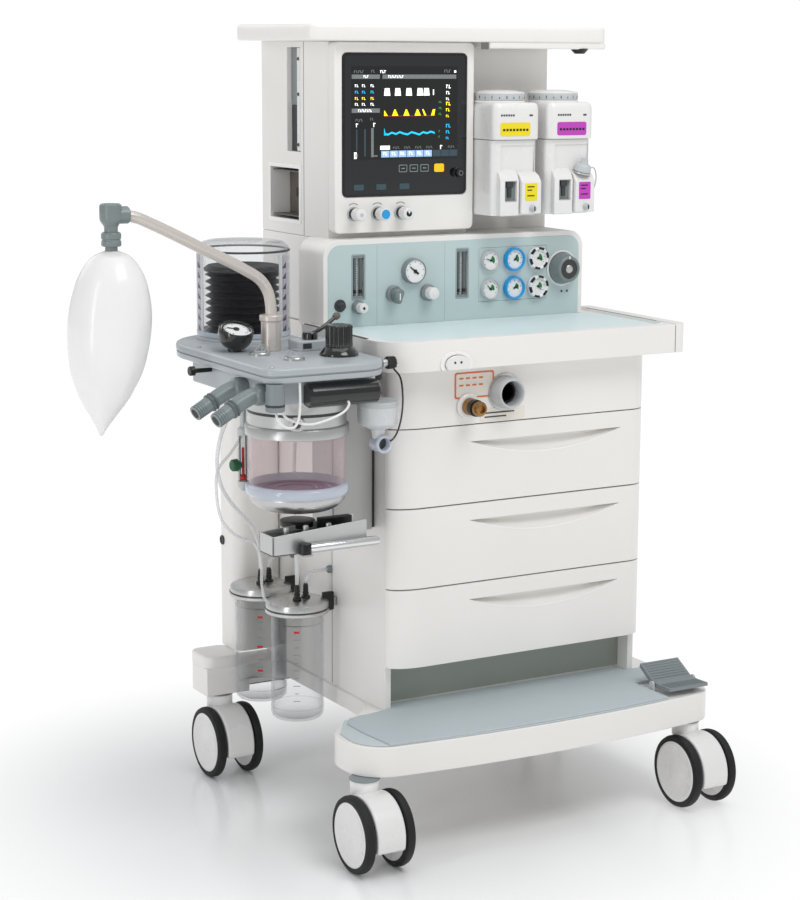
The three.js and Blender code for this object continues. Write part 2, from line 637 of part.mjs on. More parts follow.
function addAbsorber() {
  const head = [[78, headBottom], [86, headBottom], [86, headBottom + 18], [82, headBottom + 22],
    [82, blockBottom - gap], [0, blockBottom - gap], [0, 756], [78, 756], [78, headBottom]];
  const web = box(-352, -330, -60, 0, 712, blockBottom - gap);
  const column = box(-340, cabinetLeft - gap, -62, 14, cradleBottom, blockBottom - gap);
  const cradle = cut(box(-507, -334, -172, -122, cradleBottom, cradleTop),
    box(-504, -337, -169, -125, cradleBottom + 3, cradleTop + 5));
  const liftPlate = box(canisterX - 44, -330, -124, -50, cradleBottom, cradleBottom + 5);
  const liftGear = box(-501, -337, -152, -124, cradleBottom + 1, cradleTop - 5);
  const lift = turnedUp(rod(30, cradleBottom + 1, 560), canisterX, canisterY, 16);
  const lockEar = box(lockX - 9, lockX + 9, lockY - 12, -168, cradleBottom, cradleBottom + 3);
  const ring = turnedUp(head, canisterX, canisterY, 20);
  add('absorber_head', join(ring, web, column, cradle, liftPlate, liftGear, lift, lockEar), silver);

  const outer = canisterRadius;
  const canister = [[0, 573], [26, 573], [26, 578], [58, 580], [74, 590], [outer, 600], [86, 606],
    [86, 622], [outer, 625], [outer, headBottom - gap], [outer - 4, headBottom - gap],
    [outer - 4, 612], [0, 608]];
  add('absorber_canister', turnedUp(canister, canisterX, canisterY, 20), clearPlastic);

  const hub = turnedUp(rod(11, cradleBottom + 3 + gap, lockZ + 9), lockX, lockY, 18);
  const bar = turnedAcross(rod(8, lockX, lockX + 136), lockY, lockZ, 12);
  add('lock_handle', join(hub, bar), silver);
}

function addPorts() {
  for (const [name, y] of [['expiratory_port', -102], ['inspiratory_port', -180]]) {
    const route = [[-522, y, 788], [-543, y, 787], [-568, y - 2, 777], [-590, y - 5, 765],
      [-613, y - 8, 753]];
    add(name, tube(route, 14, 10, 10), greyPlastic);
  }
}

function addSensorAndTrap() {
  const x = -521;
  const y = -212;
  const sensor = turnedUp([[0, 764], [14, 764], [15.5, 767], [15.5, plateBottom - gap],
    [0, plateBottom - gap]], x, y, 20);
  const lead = tube([[x, y, 768], [x + 2, y - 6, 752], [x + 12, y - 12, 740], [x + 26, y - 14, 739],
    [x + 36, y - 10, 750], [x + 41, y - 6, 772], [x + 41, y - 5, plateBottom - gap]], 2.2, 14, 8);
  add('oxygen_sensor', join(sensor, lead), greyPlastic);

  const trapX = -301;
  const trap = turnedUp([[0, 694], [10, 694], [11, 708], [30, 716], [34.5, 722], [34.5, 754], [32, 757],
    [0, 757]], trapX, -150, 24);
  const stem = turnedUp(rod(6, 755, plateBottom - gap), -319, -160, 10);
  const tee = turnedForward(rod(15.5, 138, 166), trapX + 4, 685, 16);
  add('water_trap', join(trap, stem, tee), whitePlastic);
}

// ---- Suction jars: an open jar under a lid with two hose barbs, held by an arm of the lid ----
function addSuctionJars() {
  for (const [place, y] of Object.entries(jarPlaces)) {
    const z = place === 'front' ? 0 : -2;
    const jar = [[0, 153], [42, 153], [47, 159], [47, 358], [44, 358], [44, 160], [0, 157]];
    add(`suction_jar_${place}`, turnedUp(jar, jarX, y, 20).translate(0, 0, z), clearPlastic);
    const lid = [[0, 358.3], [47.6, 358.3], [47.6, 346], [57, 346], [57, 370], [54, 373], [0, 373]];
    const barbs = [[-10, -20], [10, -14]].map(([dx, dy]) =>
      turnedUp([[0, 372], [7, 372], [7, 376], [4, 379], [4, 400], [0, 400]], jarX + dx, y + dy, 8));
    const arm = box(jarX + 50, cabinetLeft - gap, y - 12, y + 12, 350, 366);
    add(`jar_lid_${place}`, join(turnedUp(lid, jarX, y, 20), arm, ...barbs).translate(0, 0, z), silver);
  }
}

// The hoses run up from the barbs to the underside of the breathing system.
const hoseRadius = 3.5;
const frontHoseRoute = [[-340, 73, 400.3], [-340, 73, 416], [-341, 72, 440], [-346, 68, 480],
  [-352, 60, 530], [-356, 52, 590], [-357, 46, 650], [-355, 44, 710], [-352, 45, 750],
  [-352, 45, 769.7]];
const rearHoseRoute = [[-340, 220, 398.3], [-340, 220, 414], [-344, 214, 440], [-366, 192, 478],
  [-404, 156, 514], [-446, 116, 550], [-482, 80, 592], [-500, 54, 640], [-500, 36, 688],
  [-488, 24, 726], [-480, 20, 752], [-480, 20, 769.7]];

function addHoses() {
  add('suction_hose_front', tube(frontHoseRoute, hoseRadius, 22, 8), hosePlastic);
  add('suction_hose_rear', tube(rearHoseRoute, hoseRadius, 28, 8), hosePlastic);
}

addBase();
addFootrestMat();
addBrakePedal();
addCastors();
addCabinet();
['bottom', 'middle', 'top'].forEach((name, i) =>
  addDrawer(`drawer_${name}`, drawerSeams[i], drawerSeams[i + 1]));
addGasOutlets();
addWorkSurface();
addControlPanel();
addPanelInstruments();
addMonitor();
addTower();
addTopShelf();
addVaporizers();
addBreathingPlate();
addPlateInstruments();
addBagArm();
addBreathingBag();
addBellows();
addAbsorber();
addPorts();
addSensorAndTrap();
addSuctionJars();
addHoses();

// The origin is under the middle of the whole machine, on the floor.
machine.updateMatrixWorld(true);
const bounds = new THREE.Box3().setFromObject(machine);
machine.position.set(-(bounds.min.x + bounds.max.x) / 2, -(bounds.min.y + bounds.max.y) / 2, -bounds.min.z);

export default machine;
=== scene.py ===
"""Looks of the anesthesia machine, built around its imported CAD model.

Lengths in this script are millimetres in the machine's own frame, as in the CAD source: x = 0 is the
middle of the control panel, z = 0 the floor and -Y the front. spot() turns such a point into the row
frame, in metres.
"""
import json
import math

import bmesh
import bpy
from mathutils import Matrix, Vector

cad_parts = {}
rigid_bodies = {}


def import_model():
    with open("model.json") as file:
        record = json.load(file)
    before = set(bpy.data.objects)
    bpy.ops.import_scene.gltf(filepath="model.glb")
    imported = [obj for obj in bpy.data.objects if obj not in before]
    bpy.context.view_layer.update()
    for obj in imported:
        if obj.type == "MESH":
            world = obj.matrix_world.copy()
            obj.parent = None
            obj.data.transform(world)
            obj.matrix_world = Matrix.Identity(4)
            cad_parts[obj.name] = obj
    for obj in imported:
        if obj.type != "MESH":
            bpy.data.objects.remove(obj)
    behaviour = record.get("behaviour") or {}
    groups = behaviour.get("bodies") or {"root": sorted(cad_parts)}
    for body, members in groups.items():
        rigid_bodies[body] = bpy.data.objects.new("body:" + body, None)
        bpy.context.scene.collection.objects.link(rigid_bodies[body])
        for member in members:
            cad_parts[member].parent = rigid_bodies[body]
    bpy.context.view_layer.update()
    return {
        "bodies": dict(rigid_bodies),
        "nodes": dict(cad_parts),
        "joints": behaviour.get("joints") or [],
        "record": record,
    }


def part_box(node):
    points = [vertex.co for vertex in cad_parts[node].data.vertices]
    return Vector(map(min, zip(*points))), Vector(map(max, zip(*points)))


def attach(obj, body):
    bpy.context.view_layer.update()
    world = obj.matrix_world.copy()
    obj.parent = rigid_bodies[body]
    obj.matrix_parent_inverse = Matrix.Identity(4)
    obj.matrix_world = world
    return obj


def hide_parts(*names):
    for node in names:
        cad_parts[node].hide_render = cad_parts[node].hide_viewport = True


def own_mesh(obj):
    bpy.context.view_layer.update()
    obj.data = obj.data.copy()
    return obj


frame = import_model()

MM = 0.001
SHELF_CORNER = Vector((-298, 95, 1370))  # left front top corner of the shelf, in the machine's own frame

shelf_low, shelf_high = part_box("top_shelf")
ORIGIN = Vector((shelf_low.x, shelf_low.y, shelf_high.z)) - SHELF_CORNER * MM


def spot(point):
    return Vector(point) * MM + ORIGIN


# ---- Camera ----
CAMERA_PLACE = (-2040.31, -3293.28, 1332.88)
CAMERA_ANGLES = (-30.7465, 10.5928, 0.4386)  # azimuth, elevation and roll, in degrees


def add_camera():
    """A long lens to the front left of the machine, a little above it."""
    azimuth, elevation, roll = (math.radians(a) for a in CAMERA_ANGLES)
    back = Vector((math.sin(azimuth) * math.cos(elevation), -math.cos(azimuth) * math.cos(elevation),
                   math.sin(elevation)))
    right = Vector((math.cos(azimuth), math.sin(azimuth), 0))
    up = back.cross(right)
    across = math.cos(roll) * right + math.sin(roll) * up
    upright = -math.sin(roll) * right + math.cos(roll) * up
    data = bpy.data.cameras.new("camera")
    data.lens = 87.896
    data.sensor_width = 36
    data.shift_x = -0.0505
    data.shift_y = 0.0086
    data.clip_end = 50
    camera = bpy.data.objects.new("camera", data)
    bpy.context.scene.collection.objects.link(camera)
    turn = Matrix((across, upright, back)).transposed().to_4x4()
    camera.matrix_world = Matrix.Translation(spot(CAMERA_PLACE)) @ turn
    bpy.context.scene.camera = camera


add_camera()


# ---- Materials ----
MATERIALS = {}  # material name: the material, and the slot of the record that it belongs to


def node_material(name, slot):
    material = bpy.data.materials.new(name)
    material.use_nodes = True
    MATERIALS[name] = (material, slot)
    tree = material.node_tree
    return material, tree, tree.nodes["Principled BSDF"]


def put(tree, kind, **inputs):
    """A new node, with some of its inputs set."""
    node = tree.nodes.new(kind)
    for key, value in inputs.items():
        node.inputs[key.replace("_", " ")].default_value = value
    return node


def noise_of(tree, scale, detail=2.0):
    where = tree.nodes.new("ShaderNodeTexCoord")
    noise = put(tree, "ShaderNodeTexNoise", Scale=scale, Detail=detail)
    tree.links.new(where.outputs["Object"], noise.inputs["Vector"])
    return noise.outputs["Fac"]


def spread(tree, source, low, high):
    """The source, 0.3 to 0.7, mapped to low to high."""
    ramp = put(tree, "ShaderNodeMapRange")
    for key, value in (("From Min", 0.3), ("From Max", 0.7), ("To Min", low), ("To Max", high)):
        ramp.inputs[key].default_value = value
    tree.links.new(source, ramp.inputs["Value"])
    return ramp.outputs["Result"]


def shaded(tree, colour, amount, scale):
    """The colour, lighter and darker in soft patches by the amount."""
    mix = tree.nodes.new("ShaderNodeMix")
    mix.data_type = "RGBA"
    mix.inputs[6].default_value = (*[c * (1 - amount) for c in colour], 1)
    mix.inputs[7].default_value = (*[min(1, c * (1 + amount)) for c in colour], 1)
    tree.links.new(noise_of(tree, scale, 3), mix.inputs[0])
    return mix.outputs[2]


def surface(name, colour, roughness, slot=None, metallic=0.0, grain=900, depth=0.06, patches=0.03, coat=0.0,
            smudge=0.05, stretch=None):
    """A solid finish: patches of tone, uneven gloss and a fine moulded or brushed grain."""
    material, tree, shader = node_material(name, slot or name)
    linear = [c ** 2.2 for c in colour]
    tree.links.new(shaded(tree, linear, patches, 6), shader.inputs["Base Color"])
    rough = spread(tree, noise_of(tree, 14, 4), roughness - smudge, roughness + smudge)
    tree.links.new(rough, shader.inputs["Roughness"])
    shader.inputs["Metallic"].default_value = metallic
    shader.inputs["Coat Weight"].default_value = coat
    shader.inputs["Coat Roughness"].default_value = 0.12
    where = tree.nodes.new("ShaderNodeTexCoord")
    fine = put(tree, "ShaderNodeTexNoise", Scale=grain, Detail=1.5)
    if stretch:
        mapping = tree.nodes.new("ShaderNodeMapping")
        mapping.inputs["Scale"].default_value = stretch
        tree.links.new(where.outputs["Object"], mapping.inputs["Vector"])
        tree.links.new(mapping.outputs["Vector"], fine.inputs["Vector"])
    else:
        tree.links.new(where.outputs["Object"], fine.inputs["Vector"])
    bump = put(tree, "ShaderNodeBump", Strength=depth * 4, Distance=0.0004)
    tree.links.new(fine.outputs["Fac"], bump.inputs["Height"])
    tree.links.new(bump.outputs["Normal"], shader.inputs["Normal"])
    return material


def see_through(name, tint, slot, middle, edge, roughness=0.08):
    """Thin clear plastic: nearly invisible face on, whiter and glossier towards its outline."""
    material, tree, shader = node_material(name, slot)
    linear = [c ** 2.2 for c in tint]
    tree.links.new(shaded(tree, linear, 0.04, 9), shader.inputs["Base Color"])
    shader.inputs["Roughness"].default_value = roughness
    shader.inputs["Coat Weight"].default_value = 0.6
    shader.inputs["Coat Roughness"].default_value = 0.05
    clear = tree.nodes.new("ShaderNodeBsdfTransparent")
    clear.inputs["Color"].default_value = (*[0.88 + 0.12 * c for c in linear], 1)
    facing = put(tree, "ShaderNodeLayerWeight", Blend=0.35)
    factor = put(tree, "ShaderNodeMapRange")
    factor.inputs["To Min"].default_value = middle
    factor.inputs["To Max"].default_value = edge
    square = tree.nodes.new("ShaderNodeMath")
    square.operation = "POWER"
    square.inputs[1].default_value = 2
    tree.links.new(facing.outputs["Facing"], square.inputs[0])
    tree.links.new(square.outputs["Value"], factor.inputs["Value"])
    mix = tree.nodes.new("ShaderNodeMixShader")
    tree.links.new(factor.outputs["Result"], mix.inputs["Fac"])
    tree.links.new(clear.outputs["BSDF"], mix.inputs[1])
    tree.links.new(shader.outputs["BSDF"], mix.inputs[2])
    tree.links.new(mix.outputs["Shader"], tree.nodes["Material Output"].inputs["Surface"])
    return material


def lit(name, colour, strength, slot="screen_glass"):
    """A bright area of the display or a lamp, a little uneven."""
    material, tree, shader = node_material(name, slot)
    linear = [c ** 2.2 for c in colour]
    tree.links.new(shaded(tree, linear, 0.12, 160), shader.inputs["Base Color"])
    tree.links.new(shaded(tree, linear, 0.12, 160), shader.inputs["Emission Color"])
    shader.inputs["Emission Strength"].default_value = strength
    shader.inputs["Roughness"].default_value = 0.3
    return material


def make_materials():
    surface("shell", (0.925, 0.915, 0.90), 0.34, coat=0.1)
    # A slightly lighter shell for trims and rims; on the drawer scoop lips it is a painted highlight.
    surface("shell_edge", (0.95, 0.945, 0.94), 0.34, slot="shell", coat=0.1)
    surface("shell_shadow", (0.42, 0.41, 0.40), 0.6, slot="shell")
    surface("footrest", (0.72, 0.76, 0.775), 0.7, grain=1400, depth=0.22, patches=0.05, smudge=0.08)
    surface("footrest_border", (0.77, 0.81, 0.82), 0.6, slot="footrest", grain=1400, depth=0.12)
    surface("plinth_grey", (0.60, 0.62, 0.585), 0.5, slot="shell")
    surface("white_plastic", (0.90, 0.895, 0.89), 0.28, coat=0.3, depth=0.03)
    surface("tyre", (0.035, 0.035, 0.037), 0.6, grain=1800, depth=0.25, patches=0.12, smudge=0.1)
    surface("teal", (0.735, 0.80, 0.80), 0.4)
    surface("inlay_teal", (0.85, 0.91, 0.915), 0.36, slot="teal")
    surface("teal_seam", (0.58, 0.64, 0.64), 0.6, slot="teal")
    surface("grey_plastic", (0.50, 0.53, 0.54), 0.42)
    surface("pale_grey", (0.74, 0.755, 0.76), 0.38, slot="grey_plastic")
    surface("dark_grey", (0.22, 0.23, 0.235), 0.45, slot="grey_plastic")
    surface("plate_blue", (0.66, 0.685, 0.70), 0.34, slot="grey_plastic", coat=0.15)
    surface("module_brown", (0.40, 0.37, 0.35), 0.5, slot="grey_plastic")
    surface("black_plastic", (0.06, 0.06, 0.065), 0.34, patches=0.15)
    surface("black_gloss", (0.035, 0.035, 0.04), 0.14, slot="black_plastic", coat=0.6, depth=0.01)
    surface("bellows_rubber", (0.085, 0.06, 0.085), 0.42, grain=700, depth=0.12, patches=0.2)
    surface("screen_glass", (0.045, 0.07, 0.085), 0.07, coat=0.7, depth=0.004, smudge=0.02)
    surface("display_black", (0.012, 0.012, 0.015), 0.12, slot="screen_glass", coat=0.4, depth=0.004,
            smudge=0.02)
    surface("brass", (0.62, 0.47, 0.30), 0.3, metallic=0.9, grain=500, depth=0.05)
    surface("silver", (0.76, 0.76, 0.755), 0.3, metallic=0.9, grain=260, depth=0.03, stretch=(1, 1, 14))
    surface("polished_steel", (0.88, 0.88, 0.88), 0.16, metallic=0.95, grain=260, depth=0.02,
            stretch=(14, 1, 1))
    surface("silver_paint", (0.74, 0.745, 0.74), 0.3, slot="silver", metallic=0.7, grain=1200, depth=0.04,
            coat=0.2)
    surface("sheet_metal", (0.66, 0.66, 0.655), 0.36, slot="silver", metallic=0.75, grain=300,
            stretch=(14, 14, 1))
    surface("beige_metal", (0.80, 0.77, 0.745), 0.3, metallic=0.35, grain=500, depth=0.03, coat=0.3)
    surface("elbow_grey", (0.46, 0.50, 0.50), 0.36, slot="grey_plastic", coat=0.2)
    surface("elbow_dark", (0.36, 0.40, 0.405), 0.4, slot="grey_plastic")
    surface("trap_grey", (0.80, 0.815, 0.82), 0.3, slot="white_plastic", coat=0.3)
    surface("scale_lilac", (0.72, 0.68, 0.74), 0.45, slot="clear_plastic", depth=0.01)
    surface("dial_white", (0.92, 0.92, 0.92), 0.45, slot="white_plastic", depth=0.01)
    surface("dial_black", (0.04, 0.04, 0.04), 0.5, slot="black_plastic", depth=0.01)
    surface("dial_green", (0.10, 0.45, 0.22), 0.5, slot="grey_plastic", depth=0.01)
    surface("ring_blue", (0.03, 0.60, 0.86), 0.32, slot="grey_plastic", coat=0.3, depth=0.02)
    surface("label_yellow", (0.93, 0.85, 0.06), 0.45, slot="white_plastic", depth=0.01)
    surface("label_cream", (0.90, 0.88, 0.84), 0.45, slot="white_plastic", depth=0.01)
    surface("label_orange", (0.86, 0.42, 0.16), 0.45, slot="white_plastic", depth=0.01)
    surface("label_magenta", (0.74, 0.25, 0.72), 0.45, slot="white_plastic", depth=0.01)
    surface("mark_red", (0.75, 0.12, 0.10), 0.5, slot="white_plastic", depth=0.01)
    surface("mark_green", (0.14, 0.36, 0.24), 0.5, slot="grey_plastic", depth=0.02)
    surface("tile_grey", (0.52, 0.55, 0.56), 0.5, slot="grey_plastic", depth=0.02)
    see_through("clear_plastic", (0.78, 0.79, 0.80), "clear_plastic", 0.015, 0.8)
    surface("canister_purple", (0.50, 0.34, 0.48), 0.35, slot="clear_plastic", depth=0.05)
    see_through("clear_pink", (0.93, 0.84, 0.86), "clear_plastic", 0.05, 0.6)
    see_through("clear_blue", (0.84, 0.88, 0.93), "clear_plastic", 0.6, 0.9)
    see_through("bag_silicone", (0.965, 0.96, 0.96), "bag_silicone", 0.66, 0.95, roughness=0.36)
    see_through("hose", (0.92, 0.925, 0.93), "hose", 0.45, 0.9, roughness=0.25)
    lit("screen_white", (0.95, 0.96, 0.97), 0.9)
    lit("screen_grey", (0.42, 0.44, 0.44), 0.35)
    lit("screen_dim", (0.20, 0.27, 0.30), 0.3)
    lit("screen_yellow", (1.0, 0.88, 0.08), 0.9)
    lit("screen_cyan", (0.10, 0.68, 0.85), 0.9)
    lit("screen_green", (0.25, 0.60, 0.30), 0.5)
    lit("screen_blue", (0.55, 0.68, 0.85), 0.6)
    lit("screen_red", (0.6, 0.12, 0.12), 0.5)
    lit("key_orange", (1.0, 0.62, 0.05), 0.8)
    lit("lamp_glow", (1.0, 0.97, 0.9), 1.2, slot="white_plastic")


make_materials()


# ---- Outlines: lists of points in a plane ----
def arc(x, y, radius, start, end, steps=8):
    """Points on a circle, or on an ellipse if radius is a pair, from start to end degrees."""
    wide, high = radius if isinstance(radius, tuple) else (radius, radius)
    angles = [math.radians(start + (end - start) * i / steps) for i in range(steps + 1)]
    return [(x + wide * math.cos(a), y + high * math.sin(a)) for a in angles]


def bezier(*controls, steps=12):
    """Points on a Bezier curve through its first and last control point."""
    points = []
    for i in range(steps + 1):
        t = i / steps
        level = [Vector(c) for c in controls]
        while len(level) > 1:
            level = [a.lerp(b, t) for a, b in zip(level, level[1:])]
        points.append(tuple(level[0]))
    return points


def rounded(x0, x1, y0, y1, radius, steps=6):
    radius = min(radius, (x1 - x0) / 2 - 0.01, (y1 - y0) / 2 - 0.01)
    corners = ((x1 - radius, y0 + radius, -90), (x1 - radius, y1 - radius, 0),
               (x0 + radius, y1 - radius, 90), (x0 + radius, y0 + radius, 180))
    return [p for x, y, turn in corners for p in arc(x, y, radius, turn, turn + 90, steps)]


def inset(outline, amount):
    """The outline moved inwards by the amount. The outline runs anticlockwise."""
    moved = []
    count = len(outline)
    for i in range(count):
        before, here, after = (Vector(outline[(i + d) % count]) for d in (-1, 0, 1))
        first, second = here - before, after - here
        if first.length < 1e-6 or second.length < 1e-6:
            first = second = after - before
        normal = Vector((-first.y, first.x)).normalized() + Vector((-second.y, second.x)).normalized()
        moved.append(tuple(here + normal * (2 * amount / max(normal.length_squared, 1.0))))
    return moved


# ---- Shapes: (points, faces) in millimetres ----
PLANES = {"z": lambda u, v, w: (u, v, w), "y": lambda u, v, w: (u, w, v), "x": lambda u, v, w: (w, u, v)}


def skin(rings):
    """A closed surface through rings of equal length, with a cap at each end."""
    count = len(rings[0])
    points = [p for ring in rings for p in ring]
    faces = [(r * count + i, r * count + (i + 1) % count, (r + 1) * count + (i + 1) % count,
              (r + 1) * count + i) for r in range(len(rings) - 1) for i in range(count)]
    faces += [tuple(range(count))[::-1], tuple(range(len(points) - count, len(points)))]
    return points, faces


def prism(outline, low, high, axis="z"):
    """An outline drawn along an axis. Its points are (x, y) for z, (x, z) for y and (y, z) for x."""
    place = PLANES[axis]
    return skin([[place(u, v, low) for u, v in outline], [place(u, v, high) for u, v in outline]])


def box(x0, x1, y0, y1, z0, z1):
    return prism([(x0, y0), (x1, y0), (x1, y1), (x0, y1)], z0, z1)


def steps_of(outline, levels):
    """A solid with the outline inset by a different amount at each level: levels are (height, inset)."""
    return skin([[(x, y, height) for x, y in (inset(outline, amount) if amount else outline)] for height,
                 amount in levels])


def lathe(profile, steps=40):
    """A solid of revolution round Z. Profile points are (radius, height), from axis to axis or a ring."""
    closed = profile[0][0] > 0
    turns = [(math.cos(2 * math.pi * i / steps), math.sin(2 * math.pi * i / steps)) for i in range(steps)]
    points, rows = [], []
    for radius, height in profile:
        if radius < 1e-6:
            rows.append([len(points)] * steps)
            points.append((0, 0, height))
        else:
            rows.append(list(range(len(points), len(points) + steps)))
            points += [(radius * c, radius * s, height) for c, s in turns]
    pairs = list(zip(rows, rows[1:])) + ([(rows[-1], rows[0])] if closed else [])
    faces = []
    for low, high in pairs:
        for i in range(steps):
            j = (i + 1) % steps
            face = list(dict.fromkeys((low[i], low[j], high[j], high[i])))
            if len(face) > 2:
                faces.append(tuple(face))
    return points, faces


def changed(shape, matrix):
    return [tuple(matrix @ Vector(p)) for p in shape[0]], shape[1]


def moved(shape, x=0, y=0, z=0):
    return changed(shape, Matrix.Translation((x, y, z)))


def turned_up(profile, x, y, steps=40):
    return moved(lathe(profile, steps), x, y)


def turned_forward(profile, x, z, steps=40):
    """A solid of revolution whose profile's second number is the distance towards -Y."""
    return moved(changed(lathe(profile, steps), Matrix.Rotation(math.pi / 2, 4, "X")), x, 0, z)


def turned_across(profile, y, z, steps=40):
    """A solid of revolution whose profile's second number is x."""
    return moved(changed(lathe(profile, steps), Matrix.Rotation(math.pi / 2, 4, "Y")), 0, y, z)


def turned_along(profile, start, direction, steps=32):
    """A solid of revolution that stands on start and points in any direction."""
    turn = Vector((0, 0, 1)).rotation_difference(Vector(direction)).to_matrix().to_4x4()
    return changed(lathe(profile, steps), Matrix.Translation(start) @ turn)


def rod(radius, low, high, edge=0.6):
    """The profile of a plain rod with softened ends."""
    return [(0, low), (radius - edge, low), (radius, low + edge), (radius, high - edge),
            (radius - edge, high), (0, high)]


def ring(inner, outer, low, high, edge=0.6):
    """The profile of a ring with softened corners."""
    return [(inner + edge, low), (outer - edge, low), (outer, low + edge), (outer, high - edge),
            (outer - edge, high), (inner + edge, high), (inner, high - edge), (inner, low + edge)]


def smooth_path(points, steps):
    """Points on a centripetal Catmull-Rom curve through the given ones, at even arc length."""
    points = [Vector(p) for p in points]
    ends = [points[0] * 2 - points[1], *points, points[-1] * 2 - points[-2]]
    dense = []
    for a, b, c, d in zip(ends, ends[1:], ends[2:], ends[3:]):
        knots = [0.0]
        for p, q in ((a, b), (b, c), (c, d)):
            knots.append(knots[-1] + max((q - p).length, 1e-6) ** 0.5)
        for i in range(12):
            t = knots[1] + (knots[2] - knots[1]) * i / 12
            a1 = a.lerp(b, (t - knots[0]) / (knots[1] - knots[0]))
            a2 = b.lerp(c, (t - knots[1]) / (knots[2] - knots[1]))
            a3 = c.lerp(d, (t - knots[2]) / (knots[3] - knots[2]))
            b1 = a1.lerp(a2, (t - knots[0]) / (knots[2] - knots[0]))
            b2 = a2.lerp(a3, (t - knots[1]) / (knots[3] - knots[1]))
            dense.append(b1.lerp(b2, (t - knots[1]) / (knots[2] - knots[1])))
    dense.append(points[-1])
    lengths = [0.0]
    for p, q in zip(dense, dense[1:]):
        lengths.append(lengths[-1] + (q - p).length)
    path, k = [], 0
    for i in range(steps + 1):
        wanted = lengths[-1] * i / steps
        while k < len(dense) - 2 and lengths[k + 1] < wanted:
            k += 1
        path.append(dense[k].lerp(dense[k + 1],
                                  (wanted - lengths[k]) / max(lengths[k + 1] - lengths[k], 1e-9)))
    return path


def tube(points, radius, steps=40, sides=14, smooth=True):
    """A round tube along a curve. radius is a number or a function of the share of the way along."""
    path = smooth_path(points, steps) if smooth else [Vector(p) for p in points]
    radius_at = radius if callable(radius) else (lambda share: radius)
    heading = (path[1] - path[0]).normalized()
    side = heading.orthogonal().normalized()
    rings = []
    for i, p in enumerate(path):
        ahead = (path[min(i + 1, len(path) - 1)] - path[max(i - 1, 0)]).normalized()
        side = (heading.rotation_difference(ahead) @ side).normalized()
        heading = ahead
        other = heading.cross(side)
        r = radius_at(i / (len(path) - 1))
        turns = [2 * math.pi * k / sides for k in range(sides)]
        rings.append([tuple(p + r * (math.cos(a) * side + math.sin(a) * other)) for a in turns])
    return skin(rings)


def joined(*shapes):
    points, faces = [], []
    for shape in shapes:
        start = len(points)
        points += shape[0]
        faces += [tuple(i + start for i in face) for face in shape[1]]
    return points, faces


def mesh_of(name, shape, scale=False):
    mesh = bpy.data.meshes.new(name)
    points, faces = shape
    mesh.from_pydata([spot(p) if scale else Vector(p) for p in points], [], faces)
    work = bmesh.new()
    work.from_mesh(mesh)
    bmesh.ops.recalc_face_normals(work, faces=work.faces)
    work.to_mesh(mesh)
    work.free()
    return mesh


def cut(shape, *tools):
    """The shape less each of the tools."""
    base = bpy.data.objects.new("base", mesh_of("base", shape))
    helpers = [bpy.data.objects.new("tool", mesh_of("tool", tool)) for tool in tools]
    for helper in (base, *helpers):
        bpy.context.scene.collection.objects.link(helper)
    for helper in helpers:
        modifier = base.modifiers.new("boolean", "BOOLEAN")
        modifier.object = helper
        modifier.operation = "DIFFERENCE"
        modifier.solver = "EXACT"
    bpy.context.view_layer.update()
    result = base.evaluated_get(bpy.context.evaluated_depsgraph_get()).to_mesh()
    points = [tuple(v.co) for v in result.vertices]
    faces = [tuple(p.vertices) for p in result.polygons]
    for helper in (base, *helpers):
        mesh = helper.data
        bpy.data.objects.remove(helper)
        bpy.data.meshes.remove(mesh)
    return points, faces


def piece(name, material, *shapes, body="machine", replaces=(), bevel=0.0, segments=2, angle=35):
    """One visible piece: its shapes in one mesh, with rounded edges, riding on a body of the frame."""
    mesh = mesh_of(name, joined(*shapes), scale=True)
    finish, slot = MATERIALS[material]
    mesh.materials.append(finish)
    mesh.shade_smooth()
    mesh.set_sharp_from_angle(angle=math.radians(angle))
    obj = bpy.data.objects.new(name, mesh)
    bpy.context.scene.collection.objects.link(obj)
    if bevel:
        modifier = obj.modifiers.new("rounded_edges", "BEVEL")
        modifier.width = bevel * MM
        modifier.segments = segments
        modifier.limit_method = "ANGLE"
        modifier.angle_limit = math.radians(angle)
        modifier.harden_normals = True
    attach(obj, body)
    if replaces:
        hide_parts(*replaces)
    return obj


HOSE_RADIUS = 3.5
HOSE_ROUTES = {"front": [(-340, 73, 400.3), (-340, 73, 416), (-341, 72, 440), (-346, 68, 480),
                         (-352, 60, 530), (-356, 52, 590), (-357, 46, 650), (-355, 44, 710),
                         (-352, 45, 750), (-352, 45, 769.7)],
               "rear": [(-340, 220, 398.3), (-340, 220, 414), (-344, 214, 440), (-366, 192, 478),
                        (-404, 156, 514), (-446, 116, 550), (-482, 80, 592), (-500, 54, 640),
                        (-500, 36, 688), (-488, 24, 726), (-480, 20, 752), (-480, 20, 769.7)]}


def add_hoses():
    """A clear hose from a barb of each suction jar to the underside of the breathing system."""
    for place, route in HOSE_ROUTES.items():
        path = smooth_path(route, 60)
        hose = piece(f"suction_hose_{place}_skin", "hose", tube(path, HOSE_RADIUS, sides=12, smooth=False),
                     replaces=[f"suction_hose_{place}"])
        spot(route[0])
        [spot(p) for p in path]


# ---- Base, footrest and brake pedal ----
BASE_BOTTOM = 148
BASE_TOP = 200
BASE_FRONT = -276
BASE_BACK = 370
BASE_LEFT = -395
BASE_RIGHT = 324
CABINET_LEFT = -256
CABINET_RIGHT = 268
CABINET_FRONT = -95
CABINET_BACK = 370
DRAWER_FACE = -124
DRAWER_SEAMS = (278, 418, 559, 697)
PEDAL_LEFT = 224
PEDAL_RIGHT = 308
PEDAL_PIVOT = (-222, 212)  # y, z


